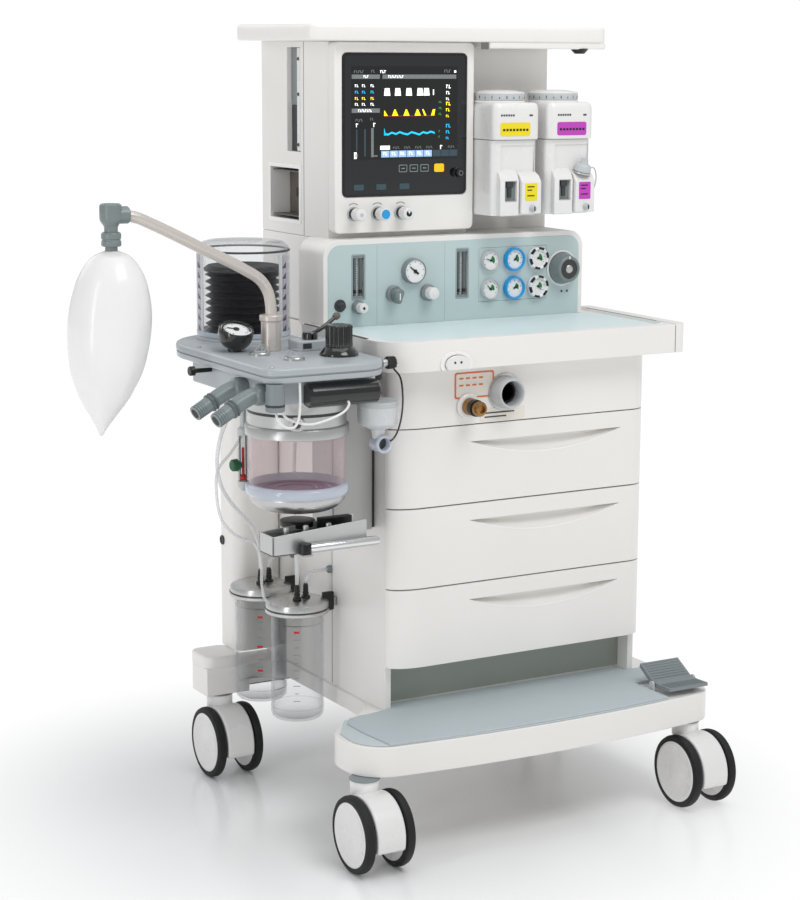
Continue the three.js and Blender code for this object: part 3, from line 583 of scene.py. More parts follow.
def base_outline():
    corner = 70
    right = 46
    return [*bezier((BASE_LEFT + corner, BASE_FRONT), (-10, BASE_FRONT - 38),
                    (BASE_RIGHT - right, BASE_FRONT), steps=20),
            *arc(BASE_RIGHT - right, BASE_FRONT + right, right, -90, 0, 10)[1:],
            *arc(BASE_RIGHT - corner, BASE_BACK - corner, corner, 0, 90, 10),
            *arc(-397, BASE_BACK - 20, 20, 90, 180, 5), (-417, 290), (CABINET_LEFT - 6, 290),
            *bezier((CABINET_LEFT - 6, -20), (CABINET_LEFT - 6, -90), (BASE_LEFT, -115), (BASE_LEFT, -185),
                    steps=14), *arc(BASE_LEFT + corner, BASE_FRONT + corner, corner, 180, 270, 10)[:-1]]


def mat_outline():
    front = BASE_FRONT + 4
    return [*bezier((-325, front), (-10, front - 38), (274, front), steps=20),
            *arc(274, front + 43, 43, -90, 0, 10)[1:], (317, -96), (CABINET_RIGHT + 6, -96),
            (CABINET_RIGHT - 13, -96), (CABINET_RIGHT - 13, -63), (CABINET_LEFT + 13, -63),
            (CABINET_LEFT + 13, -96), (CABINET_LEFT + 4, -96), (-345, -112), (-384, -172),
            *arc(-325, front + 62, 62, 180, 270, 10)[:-1]]


def add_base():
    base = cut(prism(base_outline(), BASE_BOTTOM, BASE_TOP),
               box(-330, 260, -240, 330, BASE_BOTTOM - 5, BASE_BOTTOM + 22))
    piece("base_shell", "shell", base, replaces=["base_frame"], bevel=7, segments=4, angle=60)
    housing = prism(rounded(-417, -345, 290.5, BASE_BACK, 18), BASE_TOP - 3, 222)
    piece("base_rear_left_housing", "shell", housing, bevel=4, segments=3, angle=60)
    skirt = prism(inset(base_outline(), 7), BASE_BOTTOM - 1.2, BASE_BOTTOM + 1)
    piece("base_skirt_shadow_gap", "shell_shadow", cut(skirt, box(-330, 260, -240, 330, 140, 160)))
    y, z = PEDAL_PIVOT
    ears = [prism([(y - 8, BASE_TOP - 1), (y + 8, BASE_TOP - 1), *arc(y, z + 0.5, 6.5, 0, 180, 8)], x,
                  x + 4.5, "x") for x in (PEDAL_LEFT - 5.5, PEDAL_RIGHT + 1)]
    piece("brake_pedal_ears", "pale_grey", *ears, bevel=0.8)
    pads = [turned_up(rod(26, BASE_BOTTOM - 2.5, BASE_BOTTOM - 0.2), x, y0, 32) for x,
            y0 in CASTORS.values()]
    piece("castor_mount_pads", "grey_plastic", *pads)


def add_footrest():
    """A thin mat over the whole front of the base, with a thicker ribbed pad on all but its left end."""
    well = box(PEDAL_LEFT - 8, 340, -320, -176, 190, 220)
    border = cut(prism(mat_outline(), BASE_TOP + 0.3, 202.4), well)
    piece("footrest_mat_border", "footrest_border", border, replaces=["footrest_mat"], bevel=0.8, angle=60)
    front = BASE_FRONT + 5
    pad = [*bezier((-344, front), (-20, front - 36), (273, front), steps=18),
           *arc(273, front + 42, 42, -90, 0, 10)[1:], (315, -98), (-246, -98), (-336, -114), (-352, -136),
           (-352, -190)]
    piece("footrest_mat_field", "footrest", cut(prism(pad, 202, 205.6), well), bevel=1.4, segments=3,
          angle=60)
    grooves = [box(-320, 300, y - 0.6, y + 0.6, 205.4, 205.8) for y in range(-150, -106, 10)]
    piece("footrest_grip_ribs", "footrest", *grooves, bevel=0.2)


def add_brake_pedal():
    outline = [(-272, 211), (-240, 208.5), (-218, 208.5), (-178, 234), (-180, 241), (-222, 217),
               (-240, 216), (-271, 217)]
    pads = prism(outline, PEDAL_LEFT, PEDAL_RIGHT, "x")
    pin = turned_across(rod(3, PEDAL_LEFT - 5, PEDAL_RIGHT + 5), *PEDAL_PIVOT, 20)
    piece("brake_pedal_rocker", "grey_plastic", pads, pin, body="brake_pedal", replaces=["brake_pedal"],
          bevel=1.8)
    ribs = []
    for i in range(6):
        y = -268 + 5 * i
        top = 217.4 - (y + 272) * 0.03
        ribs.append(box(PEDAL_LEFT + 4, PEDAL_RIGHT - 4, y, y + 2.4, top - 2, top + 0.7))
    for i in range(7):
        share = (i + 0.6) / 7.4
        y = -220 + 40 * share
        top = 218.3 + 22.6 * share
        ribs.append(box(PEDAL_LEFT + 4, PEDAL_RIGHT - 4, y, y + 2.6, top - 2.5, top + 1.2))
    piece("brake_pedal_ribs", "elbow_grey", *ribs, body="brake_pedal", bevel=0.6)


# ---- Castors: local frame with the swivel axis at x = y = 0 ----
WHEEL_RADIUS = 65
CASTOR_TRAIL = 32
CASTORS = {"front_left": (-380, -249), "front_right": (277, -249), "rear_left": (-381, 314),
           "rear_right": (283, 314)}


def hood_shape():
    """The smooth housing between the two wheels, curved round the front and over the top."""
    axle = -CASTOR_TRAIL
    side = [(axle - 40, 46), *arc(axle, WHEEL_RADIUS, 64.5, 197, 72, 30), (22, 112), (0, 60), (axle + 14, 46)]
    return prism(side, -26.5, 26.5, "x")


def wheel_profiles():
    near, far = 28, 46
    tread = [(54, near), (60, near), (64, near + 2.5), (65, near + 5), (65, far - 7), (63.4, far - 2.6),
             (59, far - 0.6), (54.4, far - 0.8), (54, far - 3)]
    dish = [(0, near), (54.4, near), (54.4, far - 1.6), (51, far - 0.4), (48, far - 1.2), (44, far - 3.4),
            (20, far - 4.6), (14, far - 3.4), (0, far - 3)]
    return tread, dish


def add_castors():
    for name, (x, y) in CASTORS.items():
        fork, wheels = f"castor_{name}", f"wheels_{name}"
        piece(f"castor_hood_{name}", "white_plastic", moved(hood_shape(), x, y), body=fork,
              replaces=[f"castor_fork_{name}"], bevel=7, segments=5)
        stem = turned_up([(0, 118), (22, 118), (24, 121), (24, 144), (22, 147.4), (0, 147.4)], x, y, 36)
        piece(f"castor_stem_{name}", "shell_edge", stem, body=fork)
        move = Matrix.Translation((x, y - CASTOR_TRAIL, WHEEL_RADIUS))
        for kind, material, profile in zip(("tyres", "discs"), ("tyre", "white_plastic"), wheel_profiles()):
            pair = [changed(lathe(profile, 56), move @ Matrix.Rotation(side * math.pi / 2, 4, "Y"))
                    for side in (-1, 1)]
            piece(f"castor_{kind}_{name}", material, *pair, body=wheels,
                  replaces=[f"castor_wheels_{name}"] if kind == "tyres" else [])


# ---- Cabinet and drawers ----
CORNER_LEFT = 60
CORNER_RIGHT = 35
GAS_OUTLET = (-38, 749)
SURFACE_BOTTOM = 800


def front_outline(back):
    """Plan of a front, with rounded vertical corners, wider on the left."""
    depth = CABINET_FRONT - DRAWER_FACE - 1
    return [*arc(CABINET_LEFT + CORNER_LEFT, CABINET_FRONT - 1, (CORNER_LEFT, depth), 180, 270, 12),
            *arc(CABINET_RIGHT - CORNER_RIGHT, CABINET_FRONT - 1, (CORNER_RIGHT, depth), -90, 0, 10),
            (CABINET_RIGHT, back), (CABINET_LEFT, back)]


def add_cabinet():
    top = DRAWER_SEAMS[3]
    bays = [box(CABINET_LEFT + 14, CABINET_RIGHT - 14, CABINET_FRONT - 30, 345, DRAWER_SEAMS[i] + 3,
                DRAWER_SEAMS[i + 1] - 3) for i in range(3)]
    plinth = box(CABINET_LEFT + 12, CABINET_RIGHT - 12, CABINET_FRONT - 10, -62, BASE_TOP - 10,
                 DRAWER_SEAMS[0] - 1)
    carcass = cut(box(CABINET_LEFT, CABINET_RIGHT, CABINET_FRONT, CABINET_BACK, BASE_TOP - 1, top + 0.5),
                  plinth, *bays)
    piece("cabinet_carcass", "shell", carcass, replaces=["cabinet_body"], bevel=1.5, angle=50)
    port = turned_forward(rod(20, 60, 140, 0.1), *GAS_OUTLET, 40)
    fascia = cut(prism(front_outline(CABINET_BACK), top + 0.5, SURFACE_BOTTOM - 0.3), port)
    piece("cabinet_fascia", "shell", fascia, bevel=1.2, angle=50)
    pillar = prism(rounded(-350, CABINET_LEFT + 2, 300, 385, 24, 8), 222.3, SURFACE_BOTTOM - 0.5)
    piece("cabinet_rear_pillar", "shell", pillar, bevel=2, angle=60)
    seams = [box(CABINET_LEFT - 0.25, CABINET_LEFT + 1, 99.2, 100.8, BASE_TOP + 2, SURFACE_BOTTOM - 2),
             box(CABINET_RIGHT - 1, CABINET_RIGHT + 0.25, 99.2, 100.8, BASE_TOP + 2, SURFACE_BOTTOM - 2),
             box(CABINET_LEFT + 60, CABINET_RIGHT - 60, CABINET_BACK - 1, CABINET_BACK + 0.3, 230, 231.4),
             box(CABINET_LEFT + 60, CABINET_RIGHT - 60, CABINET_BACK - 1, CABINET_BACK + 0.3, 688, 689.4)]
    piece("cabinet_panel_seams", "shell_shadow", *seams)
    panel = box(CABINET_LEFT + 13, CABINET_RIGHT - 13, -64.5, -62.2, BASE_TOP + 6, DRAWER_SEAMS[0] - 2)
    piece("plinth_panel", "plinth_grey", panel, bevel=0.8)
    hole = turned_across(ring(5, 9, CABINET_LEFT - 96, CABINET_LEFT - 93.4), 360, 425, 28)
    piece("pillar_hose_grommet", "black_plastic", hole,
          turned_across(rod(5.2, CABINET_LEFT - 95, CABINET_LEFT - 93.8), 360, 425, 20))


SCOOP_X = 52
SCOOP_HALF = 158
SCOOP_DROP = 30
SCOOP_HEIGHT = 27


def smile(grow):
    """The curved lower edge of a drawer's finger scoop, x and height below the drawer's top."""
    return bezier((SCOOP_X - SCOOP_HALF - grow, -SCOOP_DROP),
                  (SCOOP_X, -SCOOP_DROP - 2 * SCOOP_HEIGHT - 2 * grow),
                  (SCOOP_X + SCOOP_HALF + grow, -SCOOP_DROP), steps=28)


def scoop_cutter(z1):
    """A pocket, deep under its straight upper edge, that runs out to the front along its lower edge."""
    rings = []
    for y, grow in ((DRAWER_FACE - 4, 3.2), (DRAWER_FACE, 1.2), (DRAWER_FACE + 4, -1.5),
                    (DRAWER_FACE + 10, -7), (DRAWER_FACE + 17, -14)):
        rings.append([(x, y, z1 + z) for x, z in smile(grow)])
    return skin(rings)


def add_drawer(name, z0, z1):
    body = f"drawer_{name}"
    front = cut(prism(front_outline(CABINET_FRONT - 1), z0 + 1.2, z1 - 1.2), scoop_cutter(z1))
    piece(f"{body}_front", "shell", front, body=body, replaces=[body], bevel=1.6, segments=3, angle=55)
    outer = box(CABINET_LEFT + 22, CABINET_RIGHT - 22, CABINET_FRONT - 3, 300, z0 + 10, z1 - 32)
    inner = box(CABINET_LEFT + 27, CABINET_RIGHT - 27, CABINET_FRONT + 1, 295, z0 + 14, z1 + 10)
    piece(f"{body}_tray", "pale_grey", cut(outer, inner), body=body, bevel=1.2)
    runners = [box(x, x + 5, CABINET_FRONT + 6, 290, z0 + 22, z0 + 36)
               for x in (CABINET_LEFT + 16.5, CABINET_RIGHT - 21.5)]
    piece(f"{body}_runners", "sheet_metal", *runners, body=body, bevel=0.8)
    # The scoop's lower lip: a flush band of the lighter shell, a painted highlight where the lip faces up
    # into the light.
    lip = [*smile(2.6), *smile(-0.4)[::-1]]
    band = [[(x, y, z1 + z) for x, z in lip] for y in (DRAWER_FACE - 0.35, DRAWER_FACE + 1)]
    piece(f"{body}_scoop_lip_highlight", "shell_edge", skin(band), body=body)


def add_gas_outlets():
    x, z = GAS_OUTLET
    face = -DRAWER_FACE
    collar = [(21, face + 0.3), (29.4, face + 0.3), (28, face + 6), (27, face + 20), (26, face + 26),
              (24.6, face + 28), (22.6, face + 28), (21.4, face + 26), (21, face + 22)]
    piece("fresh_gas_outlet_collar", "pale_grey", turned_forward(collar, x, z, 48),
          replaces=["fresh_gas_outlet"])
    socket = [(16, 62), (19.8, 62), (19.8, face + 4), (16, face + 4), (14, face - 4)]
    floor = [(0, 61), (19.6, 61), (19.6, 64), (0, 64)]
    piece("fresh_gas_outlet_socket", "black_plastic", turned_forward(socket, x, z, 40),
          turned_forward(floor, x, z, 32))
    piece("fresh_gas_outlet_flange", "silver", turned_forward(ring(28, 33, face - 0.5, face + 3), x, z, 48))
    x, z = (-113, 730)
    start = face + 0.3
    barrel = [(0, start + 8), (15, start + 8), (15, start + 12), (13, start + 20), (13.4, start + 22),
              (13.4, start + 30), (12.6, start + 31), (12.6, start + 36), (13, start + 37),
              (13, start + 44), (10, start + 49), (6.5, start + 50), (6, start + 44), (0, start + 44)]
    piece("oxygen_outlet_barrel", "brass", turned_forward(barrel, x, z, 36), replaces=["oxygen_outlet"])
    collar = [(0, start), (21, start), (22, start + 1.5), (22, start + 6), (19, start + 8.4),
              (0, start + 8.4)]
    piece("oxygen_outlet_collar", "white_plastic", turned_forward(collar, x, z, 40))
    piece("oxygen_outlet_grip", "black_plastic",
          turned_forward(ring(12.8, 14.6, start + 22, start + 33), x, z, 24))
    add_outlet_labels()


def add_outlet_labels():
    """Two small labels beside the gas outlets, with plain marks in place of words."""
    face = DRAWER_FACE
    hole = turned_forward(rod(33, 60, 180, 0.1), *GAS_OUTLET, 40)
    frame = cut(prism(rounded(-138, -60, 743, 788, 4), face - 1, face + 0.4, "y"),
                prism(rounded(-135.4, -62.6, 745.6, 785.4, 3), face - 3, face + 2, "y"), hole)
    piece("gas_outlet_label_frame", "label_orange", frame)
    fields = [prism(rounded(-135.8, -62.2, 745.2, 785.8, 3), face - 0.6, face + 0.4, "y"),
              prism(rounded(-86, 4, 700, 722, 3), face - 0.8, face + 0.4, "y")]
    piece("gas_outlet_label_fields", "label_cream", *[cut(field, hole) for field in fields])
    marks = [box(-129 + 13 * i, -121 + 13 * i, face - 0.9, face - 0.5, z, z + 3) for i in range(4)
             for z in (776, 764)]
    piece("gas_outlet_label_marks", "label_orange", *marks)
    lines = [box(-78, -78 + w, face - 1.1, face - 0.7, z, z + 2.4) for w, z in ((60, 713), (44, 706))]
    piece("gas_outlet_label_lines", "dark_grey", *lines)


# ---- Work surface and flush button ----
SURFACE_TOP = 845
SURFACE_RIM = 851
SURFACE_FRONT = -161
SURFACE_LEFT = -290
SURFACE_RIGHT = 325
SURFACE_BACK = 149
TOWER_HALF = 250
TOWER_BACK = 385
BUTTON = (-158, 810)  # x, z


def surface_outline():
    return [*arc(SURFACE_LEFT + 60, SURFACE_FRONT + 60, 60, 180, 270, 14),
            *arc(SURFACE_RIGHT - 20, SURFACE_FRONT + 20, 20, -90, 0, 8), (SURFACE_RIGHT, SURFACE_BACK),
            (TOWER_HALF + 4, SURFACE_BACK), (TOWER_HALF + 4, TOWER_BACK), (-TOWER_HALF - 4, TOWER_BACK),
            (-TOWER_HALF - 4, SURFACE_BACK), (SURFACE_LEFT, SURFACE_BACK)]


def oval(width, height):
    return arc(*BUTTON, (width / 2, height / 2), 0, 360, 40)[:-1]


def add_work_surface():
    tray = prism(rounded(SURFACE_LEFT + 18, SURFACE_RIGHT - 28, SURFACE_FRONT + 18, 160, 40, 8),
                 SURFACE_TOP, 860)
    under = box(-273, 273, 99.5, 400, SURFACE_TOP, 860)
    pocket = prism(oval(48, 32), SURFACE_FRONT - 12, SURFACE_FRONT + 1, "y")
    body = cut(prism(surface_outline(), SURFACE_BOTTOM, SURFACE_RIM), tray, under, pocket)
    piece("work_surface_moulding", "shell", body, replaces=["work_surface"], bevel=3, segments=3, angle=50)
    clear_fascia = box(-230, -90, DRAWER_FACE - 60, DRAWER_FACE + 60, 760, SURFACE_BOTTOM)
    boss = cut(prism(oval(62, 44), SURFACE_FRONT - 3, SURFACE_FRONT + 3, "y"),
               prism(oval(48, 32), SURFACE_FRONT - 12, SURFACE_FRONT + 9, "y"), clear_fascia)
    piece("flush_button_surround", "shell_edge", boss, bevel=0.9)
    inlay = rounded(SURFACE_LEFT + 21, SURFACE_RIGHT - 31, SURFACE_FRONT + 21, 98, 36, 8)
    piece("work_surface_inlay", "inlay_teal", prism(inlay, SURFACE_TOP - 0.5, SURFACE_TOP + 0.9), bevel=0.5)
    seam = [box(SURFACE_RIGHT - 28, SURFACE_RIGHT - 26.8, SURFACE_FRONT - 0.2, SURFACE_BACK - 3,
                SURFACE_RIM - 0.6, SURFACE_RIM + 0.15),
            box(SURFACE_RIGHT - 28, SURFACE_RIGHT - 26.8, SURFACE_FRONT - 0.25, SURFACE_FRONT + 0.5,
                SURFACE_BOTTOM + 1, SURFACE_RIM - 2)]
    piece("work_surface_end_cap_seam", "shell_shadow", *seam)
    rail = box(SURFACE_LEFT, SURFACE_LEFT + 6, SURFACE_FRONT + 74, SURFACE_BACK - 8, SURFACE_RIM - 1,
               SURFACE_RIM + 1.2)
    piece("work_surface_side_rail", "dark_grey", rail, bevel=0.9)
    clear_button = cut(prism(oval(46, 30), SURFACE_FRONT - 8, SURFACE_FRONT - 3.5, "y"), clear_fascia)
    piece("flush_button_cap", "white_plastic", clear_button, body="oxygen_flush_button",
          replaces=["oxygen_flush_button"], bevel=1.6, segments=3)
    x, z = BUTTON
    dots = [turned_forward(rod(2.2, -SURFACE_FRONT + 7.6, -SURFACE_FRONT + 8.3, 0.2), x + dx, z + 3, 16)
            for dx in (-6, 6)]
    piece("flush_button_dots", "dark_grey", *dots, body="oxygen_flush_button")


# ---- Control panel ----
PANEL_HALF = 272
PANEL_FRONT = 100
PANEL_BACK = 194.7
PANEL_TOP = 1000
PANEL_KNOBS = {"auxiliary": (-205, 881), "selector": (-133, 901), "vacuum": (-63, 900), "switch": (226, 931)}
FLOW_TUBES = ((-215, -191, 895, 972), (-2, 22, 887, 975))  # slots: x from, x to, z from, z to
GAUGE_COLUMNS = (67, 119, 170)
GAUGE_ROWS = (952, 900)


def disc(radius, face, x, z, thick=0.4, steps=40):
    """A thin flat disc on a front that stands at y = -face."""
    return turned_forward([(0, face - 0.5), (radius, face - 0.5), (radius, face + thick),
                           (0, face + thick)], x, z, steps)


def needle(face, x, z, angle, length, tail=3, width=1.3):
    """A pointer on a dial. Its angle is measured from +Z towards +X."""
    bar = prism([(-width, -tail), (width, -tail), (width * 0.35, length), (-width * 0.35, length)],
                -face - 1.3, -face - 0.8, "y")
    return moved(changed(bar, Matrix.Rotation(math.radians(angle), 4, "Y")), x, 0, z)


def ticks(face, x, z, inner, outer, count, start, sweep, width=0.9):
    """Short radial marks on a dial, at even angles."""
    marks = []
    for i in range(count):
        turn = math.radians(start + sweep * i / max(count - 1, 1))
        bar = box(-width / 2, width / 2, -face - 0.5, -face, inner, outer)
        marks.append(moved(changed(bar, Matrix.Rotation(turn, 4, "Y")), x, 0, z))
    return joined(*marks)


def add_control_panel():
    outline = rounded(-PANEL_HALF, PANEL_HALF, SURFACE_TOP - 60, PANEL_TOP, 30, 10)
    slots = [box(x0, x1, PANEL_FRONT - 5, PANEL_FRONT + 9, z0, z1) for x0, x1, z0, z1 in FLOW_TUBES]
    slots.append(box(45, 192, PANEL_FRONT - 5, PANEL_FRONT + 6, 877, 975))
    below = box(-300, 300, 50, 250, 700, SURFACE_TOP + 0.3)
    body = cut(prism(outline, PANEL_FRONT + 0.5, PANEL_BACK, "y"), below, *slots)
    piece("control_panel_housing", "shell", body, replaces=["control_panel"], bevel=3.5, segments=3,
          angle=50)
    face = rounded(-PANEL_HALF + 9, PANEL_HALF - 9, SURFACE_TOP - 60, PANEL_TOP - 9, 23, 10)
    front = cut(prism(face, PANEL_FRONT - 0.6, PANEL_FRONT + 1.2, "y"), below, *slots)
    piece("control_panel_face", "teal", front, bevel=0.4, angle=50)
    seams = [box(x, x + 0.6, PANEL_FRONT - 0.7, PANEL_FRONT, 848, PANEL_TOP - 12) for x in (-166, -27)]
    piece("control_panel_seams", "teal_seam", *seams)
    forward = -PANEL_FRONT
    nipple = [(0, forward), (11, forward), (11, forward + 2.5), (6, forward + 3.5), (5, forward + 6),
              (6.4, forward + 7.4), (5, forward + 9), (6.2, forward + 10.5), (4.6, forward + 12.5),
              (4.6, forward + 15.6), (0, forward + 15.6)]
    piece("auxiliary_outlet_nipple", "dark_grey", turned_forward(nipple, -240, 885, 28))


def add_flow_tubes():
    """Two graduated tubes with a float in each slot."""
    for number, (x0, x1, z0, z1) in enumerate(FLOW_TUBES):
        middle = (x0 + x1) / 2
        rim = rounded(x0 - 2, x1 + 2, z0 - 2, z1 + 2, 3)
        trim = cut(prism(rim, PANEL_FRONT - 1.2, PANEL_FRONT + 1, "y"),
                   box(x0 + 1, x1 - 1, PANEL_FRONT - 5, PANEL_FRONT + 5, z0 + 1, z1 - 1))
        piece(f"flow_tube_trim_{number}", "teal_seam", trim, bevel=0.5)
        back = box(x0 + 0.3, x1 - 0.3, PANEL_FRONT + 7.6, PANEL_FRONT + 8.8, z0 + 0.3, z1 - 0.3)
        piece(f"flow_tube_back_{number}", "dial_white", back)
        tubes = [turned_up(rod(3, z0 + 4, z1 - 4), middle + dx, PANEL_FRONT + 3.6, 20) for dx in (-6, 6)]
        piece(f"flow_tube_glass_{number}", "elbow_dark", *tubes)
        ends = [box(x0 + 1.2, x1 - 1.2, PANEL_FRONT - 0.4, PANEL_FRONT + 7.5, z, z + 4.6)
                for z in (z0 + 0.6, z1 - 5.2)]
        piece(f"flow_tube_ends_{number}", "grey_plastic", *ends, bevel=0.8)
        floats = [turned_up([(0, z0 + 9), (3.2, z0 + 10), (3.4, z0 + 16), (0, z0 + 16)], middle + dx,
                            PANEL_FRONT + 3.6, 14) for dx in (-6, 6)]
        piece(f"flow_tube_floats_{number}", "dial_black", *floats)
        marks = [box(middle - 1.3, middle + (1.6 if i % 4 else 2.6), PANEL_FRONT + 7.2, PANEL_FRONT + 7.7,
                     z0 + 10 + 4.2 * i, z0 + 10.7 + 4.2 * i) for i in range(int((z1 - z0 - 20) / 4.2))]
        piece(f"flow_tube_marks_{number}", "dial_black", *marks)


def fluted(radius, low, high, flutes, depth, edge=1.0):
    """A knob cap with shallow grooves round its side, standing on the XY plane."""
    rings = []
    count = flutes * 4
    for level, shrink in ((low, 0.0), (high - edge, 0.0), (high - edge * 0.3, edge * 0.4), (high, edge)):
        ring_points = []
        for i in range(count):
            turn = 2 * math.pi * i / count
            r = radius - shrink - (depth if i % 4 in (0, 1) else 0)
            ring_points.append((r * math.cos(turn), r * math.sin(turn), level))
        rings.append(ring_points)
    return skin(rings)


def facing_front(shape, x, z):
    """A shape that stands on the XY plane, laid over so that it points to -Y."""
    return moved(changed(shape, Matrix.Rotation(math.pi / 2, 4, "X")), x, 0, z)


def add_panel_knobs():
    face = -PANEL_FRONT + 0.3
    x, z = PANEL_KNOBS["auxiliary"]
    base = [(0, face), (12, face), (12, face + 8), (10.5, face + 10.5), (0, face + 10.5)]
    piece("auxiliary_flow_knob_base", "grey_plastic", turned_forward(base, x, z),
          body="auxiliary_flow_knob", replaces=["auxiliary_flow_knob"])
    piece("auxiliary_flow_knob_cap", "white_plastic",
          facing_front(fluted(9, face + 9, face + 25.6, 18, 0.5), x, z), body="auxiliary_flow_knob")
    piece("auxiliary_flow_knob_dot", "dial_black", disc(2.6, face + 25.4, x, z, 0.5, 20),
          body="auxiliary_flow_knob")
    x, z = PANEL_KNOBS["selector"]
    body = "suction_selector_knob"
    piece("suction_selector_base", "grey_plastic",
          turned_forward([(0, face), (15, face), (15, face + 7), (13, face + 9), (0, face + 9)], x, z),
          body=body, replaces=["suction_selector_knob"])
    drop = [*arc(x, z, 10.6, 20, 160, 12), (x - 4, z - 12), *arc(x, z - 13, 3, 180, 360, 6), (x + 4, z - 12)]
    piece("suction_selector_grip", "elbow_grey", prism(drop, -face - 26.4, -face - 8, "y"), body=body,
          bevel=2, segments=3)
    piece("suction_selector_mark", "dial_white",
          box(x - 1.1, x + 1.1, -face - 26.9, -face - 26, z - 9, z + 3), body=body)
    x, z = PANEL_KNOBS["vacuum"]
    base = [(0, face), (14.8, face), (14.8, face + 7), (12, face + 10), (0, face + 10)]
    piece("vacuum_knob_base", "grey_plastic", turned_forward(base, x, z), body="vacuum_knob",
          replaces=["vacuum_knob"])
    piece("vacuum_knob_cap", "white_plastic",
          facing_front(fluted(11, face + 9, face + 26.8, 22, 0.55, 1.4), x, z), body="vacuum_knob")
    x, z = PANEL_KNOBS["switch"]
    cone = [(0, face), (28.8, face), (28.8, face + 6), (27.6, face + 11), (23.6, face + 25),
            (21.5, face + 26.6), (18.5, face + 26), (17.8, face + 23.4), (0, face + 23.4)]
    piece("system_switch_cone", "elbow_grey", turned_forward(cone, x, z, 56), body="system_switch",
          replaces=["system_switch"])
    well = [(0, face + 23), (17.6, face + 23), (17.6, face + 24.2), (0, face + 24.2)]
    piece("system_switch_well", "black_gloss", turned_forward(well, x, z, 48), body="system_switch")
    centre = [(0, face + 23), (7.6, face + 23), (7.6, face + 25.8), (6, face + 27.2), (0, face + 27.6)]
    piece("system_switch_centre", "silver", turned_forward(centre, x, z, 40), body="system_switch")
    piece("system_switch_pointer", "white_plastic",
          box(x - 1.3, x + 1.3, -face - 26.9, -face - 24.5, z + 18.4, z + 23.4), body="system_switch")
    piece("system_switch_bezel", "shell_edge",
          turned_forward(ring(29.6, 33, -PANEL_FRONT + 0.4, -PANEL_FRONT + 2.2), x, z, 56))
    lamps = [disc(2.2, -PANEL_FRONT + 0.8, 226 + dx, 888, 0.5, 18) for dx in (0, 12)]
    piece("system_switch_lamps", "mark_green", *lamps)


def add_vacuum_gauge():
    x, z = -94, 940
    face = -PANEL_FRONT
    case = [(0, face + 0.3), (23, face + 0.3), (22.4, face + 9), (21.6, face + 13.4), (20.8, face + 14),
            (20.2, face + 13.4), (20, face + 11), (0, face + 11)]
    piece("vacuum_gauge_case", "grey_plastic", turned_forward(case, x, z, 56), replaces=["vacuum_gauge"])
    piece("vacuum_gauge_dial", "dial_white", disc(20, face + 11.2, x, z))
    piece("vacuum_gauge_scale", "dial_black", ticks(face + 11.6, x, z, 15.6, 17.6, 7, -120, 240, 0.7),
          needle(face + 11.6, x, z, -52, 14, 8, 2.0), disc(3.4, face + 12, x, z, 1.2, 20))


def wedge(face, x, z, start, sweep, radius):
    """A coloured part of a dial, from its middle outwards. Angles are measured from +Z towards +X."""
    turns = [math.radians(start + sweep * i / 10) for i in range(11)]
    rim = [(x + radius * math.sin(a), z + radius * math.cos(a)) for a in turns]
    return prism([(x, z), *rim], -face - 0.3, -face + 0.2, "y")


def add_gauges():
    add_vacuum_gauge()
    face = -PANEL_FRONT
    plate = box(45.4, 191.6, PANEL_FRONT - 0.4, PANEL_FRONT + 5.5, 877.4, 974.6)
    piece("supply_gauge_plate", "teal", plate, replaces=["supply_gauges"], bevel=0.3)
    finishes = ("pale_grey", "ring_blue", "shell_edge")
    for column, (x, finish) in enumerate(zip(GAUGE_COLUMNS, finishes)):
        wide = (18.4, 21.4, 20.4)[column]
        bore = (16.6, 17, 16)[column]
        rims, dials, scales, hands, greens = [], [], [], [], []
        for row, z in enumerate(GAUGE_ROWS):
            rim = [(bore, face + 1), (wide, face + 1), (wide, face + 8), (wide - 1.2, face + 11),
                   (bore + 1, face + 11), (bore, face + 8.6)]
            rims.append(turned_forward(rim, x, z, 48))
            dials.append(disc(bore + 0.2, face + 5.4, x, z, 0.5))
            greens.append(wedge(face + 6, x, z, 20, 110 - 20 * row, 9))
            scales.append(ticks(face + 6, x, z, 12.4, 14.4, 7, -120, 240, 0.7))
            hands.append(needle(face + 6.4, x, z, (-70, 35, 105)[column] + 25 * row, 10, 3, 1.2))
            scales.append(disc(2, face + 6.2, x, z, 1, 16))
        piece(f"supply_gauge_rims_{column}", finish, *rims)
        piece(f"supply_gauge_dials_{column}", "dial_white", *dials)
        piece(f"supply_gauge_scales_{column}", "dial_black", *scales, *hands)
        piece(f"supply_gauge_zones_{column}", "dial_green", *greens)
    dashes = []
    for z in GAUGE_ROWS:
        for k in range(6):
            turn = Matrix.Rotation(math.radians(60 * k), 4, "Y")
            outer = arc(0, 0, 20.5, 0, 34, 6)
            inner = arc(0, 0, 16.4, 34, 0, 6)
            dash = prism([*outer, *inner], -face - 11.4, -face - 8, "y")
            dashes.append(moved(changed(dash, turn), GAUGE_COLUMNS[2], 0, z))
    piece("supply_gauge_dashes", "dial_black", *dashes)


# ---- Monitor ----
BEZEL_FRONT = 118
BEZEL_BACK = 143
BEZEL_LEFT = -240
BEZEL_RIGHT = 43
BEZEL_BOTTOM = 1009
SHELF_BOTTOM = 1341
GLASS = (-224, 27, 1073, 1321)  # x from, x to, z from, z to
DISPLAY = (-207, 7.5, 1136.5, 1299)
FLOW_KNOBS = {"left": -203, "middle": -155, "right": -108}
FLOW_KNOB_Z = 1043


def on_screen(u0, u1, v0, v1, lift=0.25):
    """A flat patch on the display: u from its left edge and v down from its top, as shares of its size."""
    x0, x1, z0, z1 = DISPLAY
    across, down = x1 - x0, z1 - z0
    return box(x0 + across * u0, x0 + across * u1, BEZEL_FRONT - 1.3 - lift, BEZEL_FRONT - 1.2,
               z1 - down * v1, z1 - down * v0)


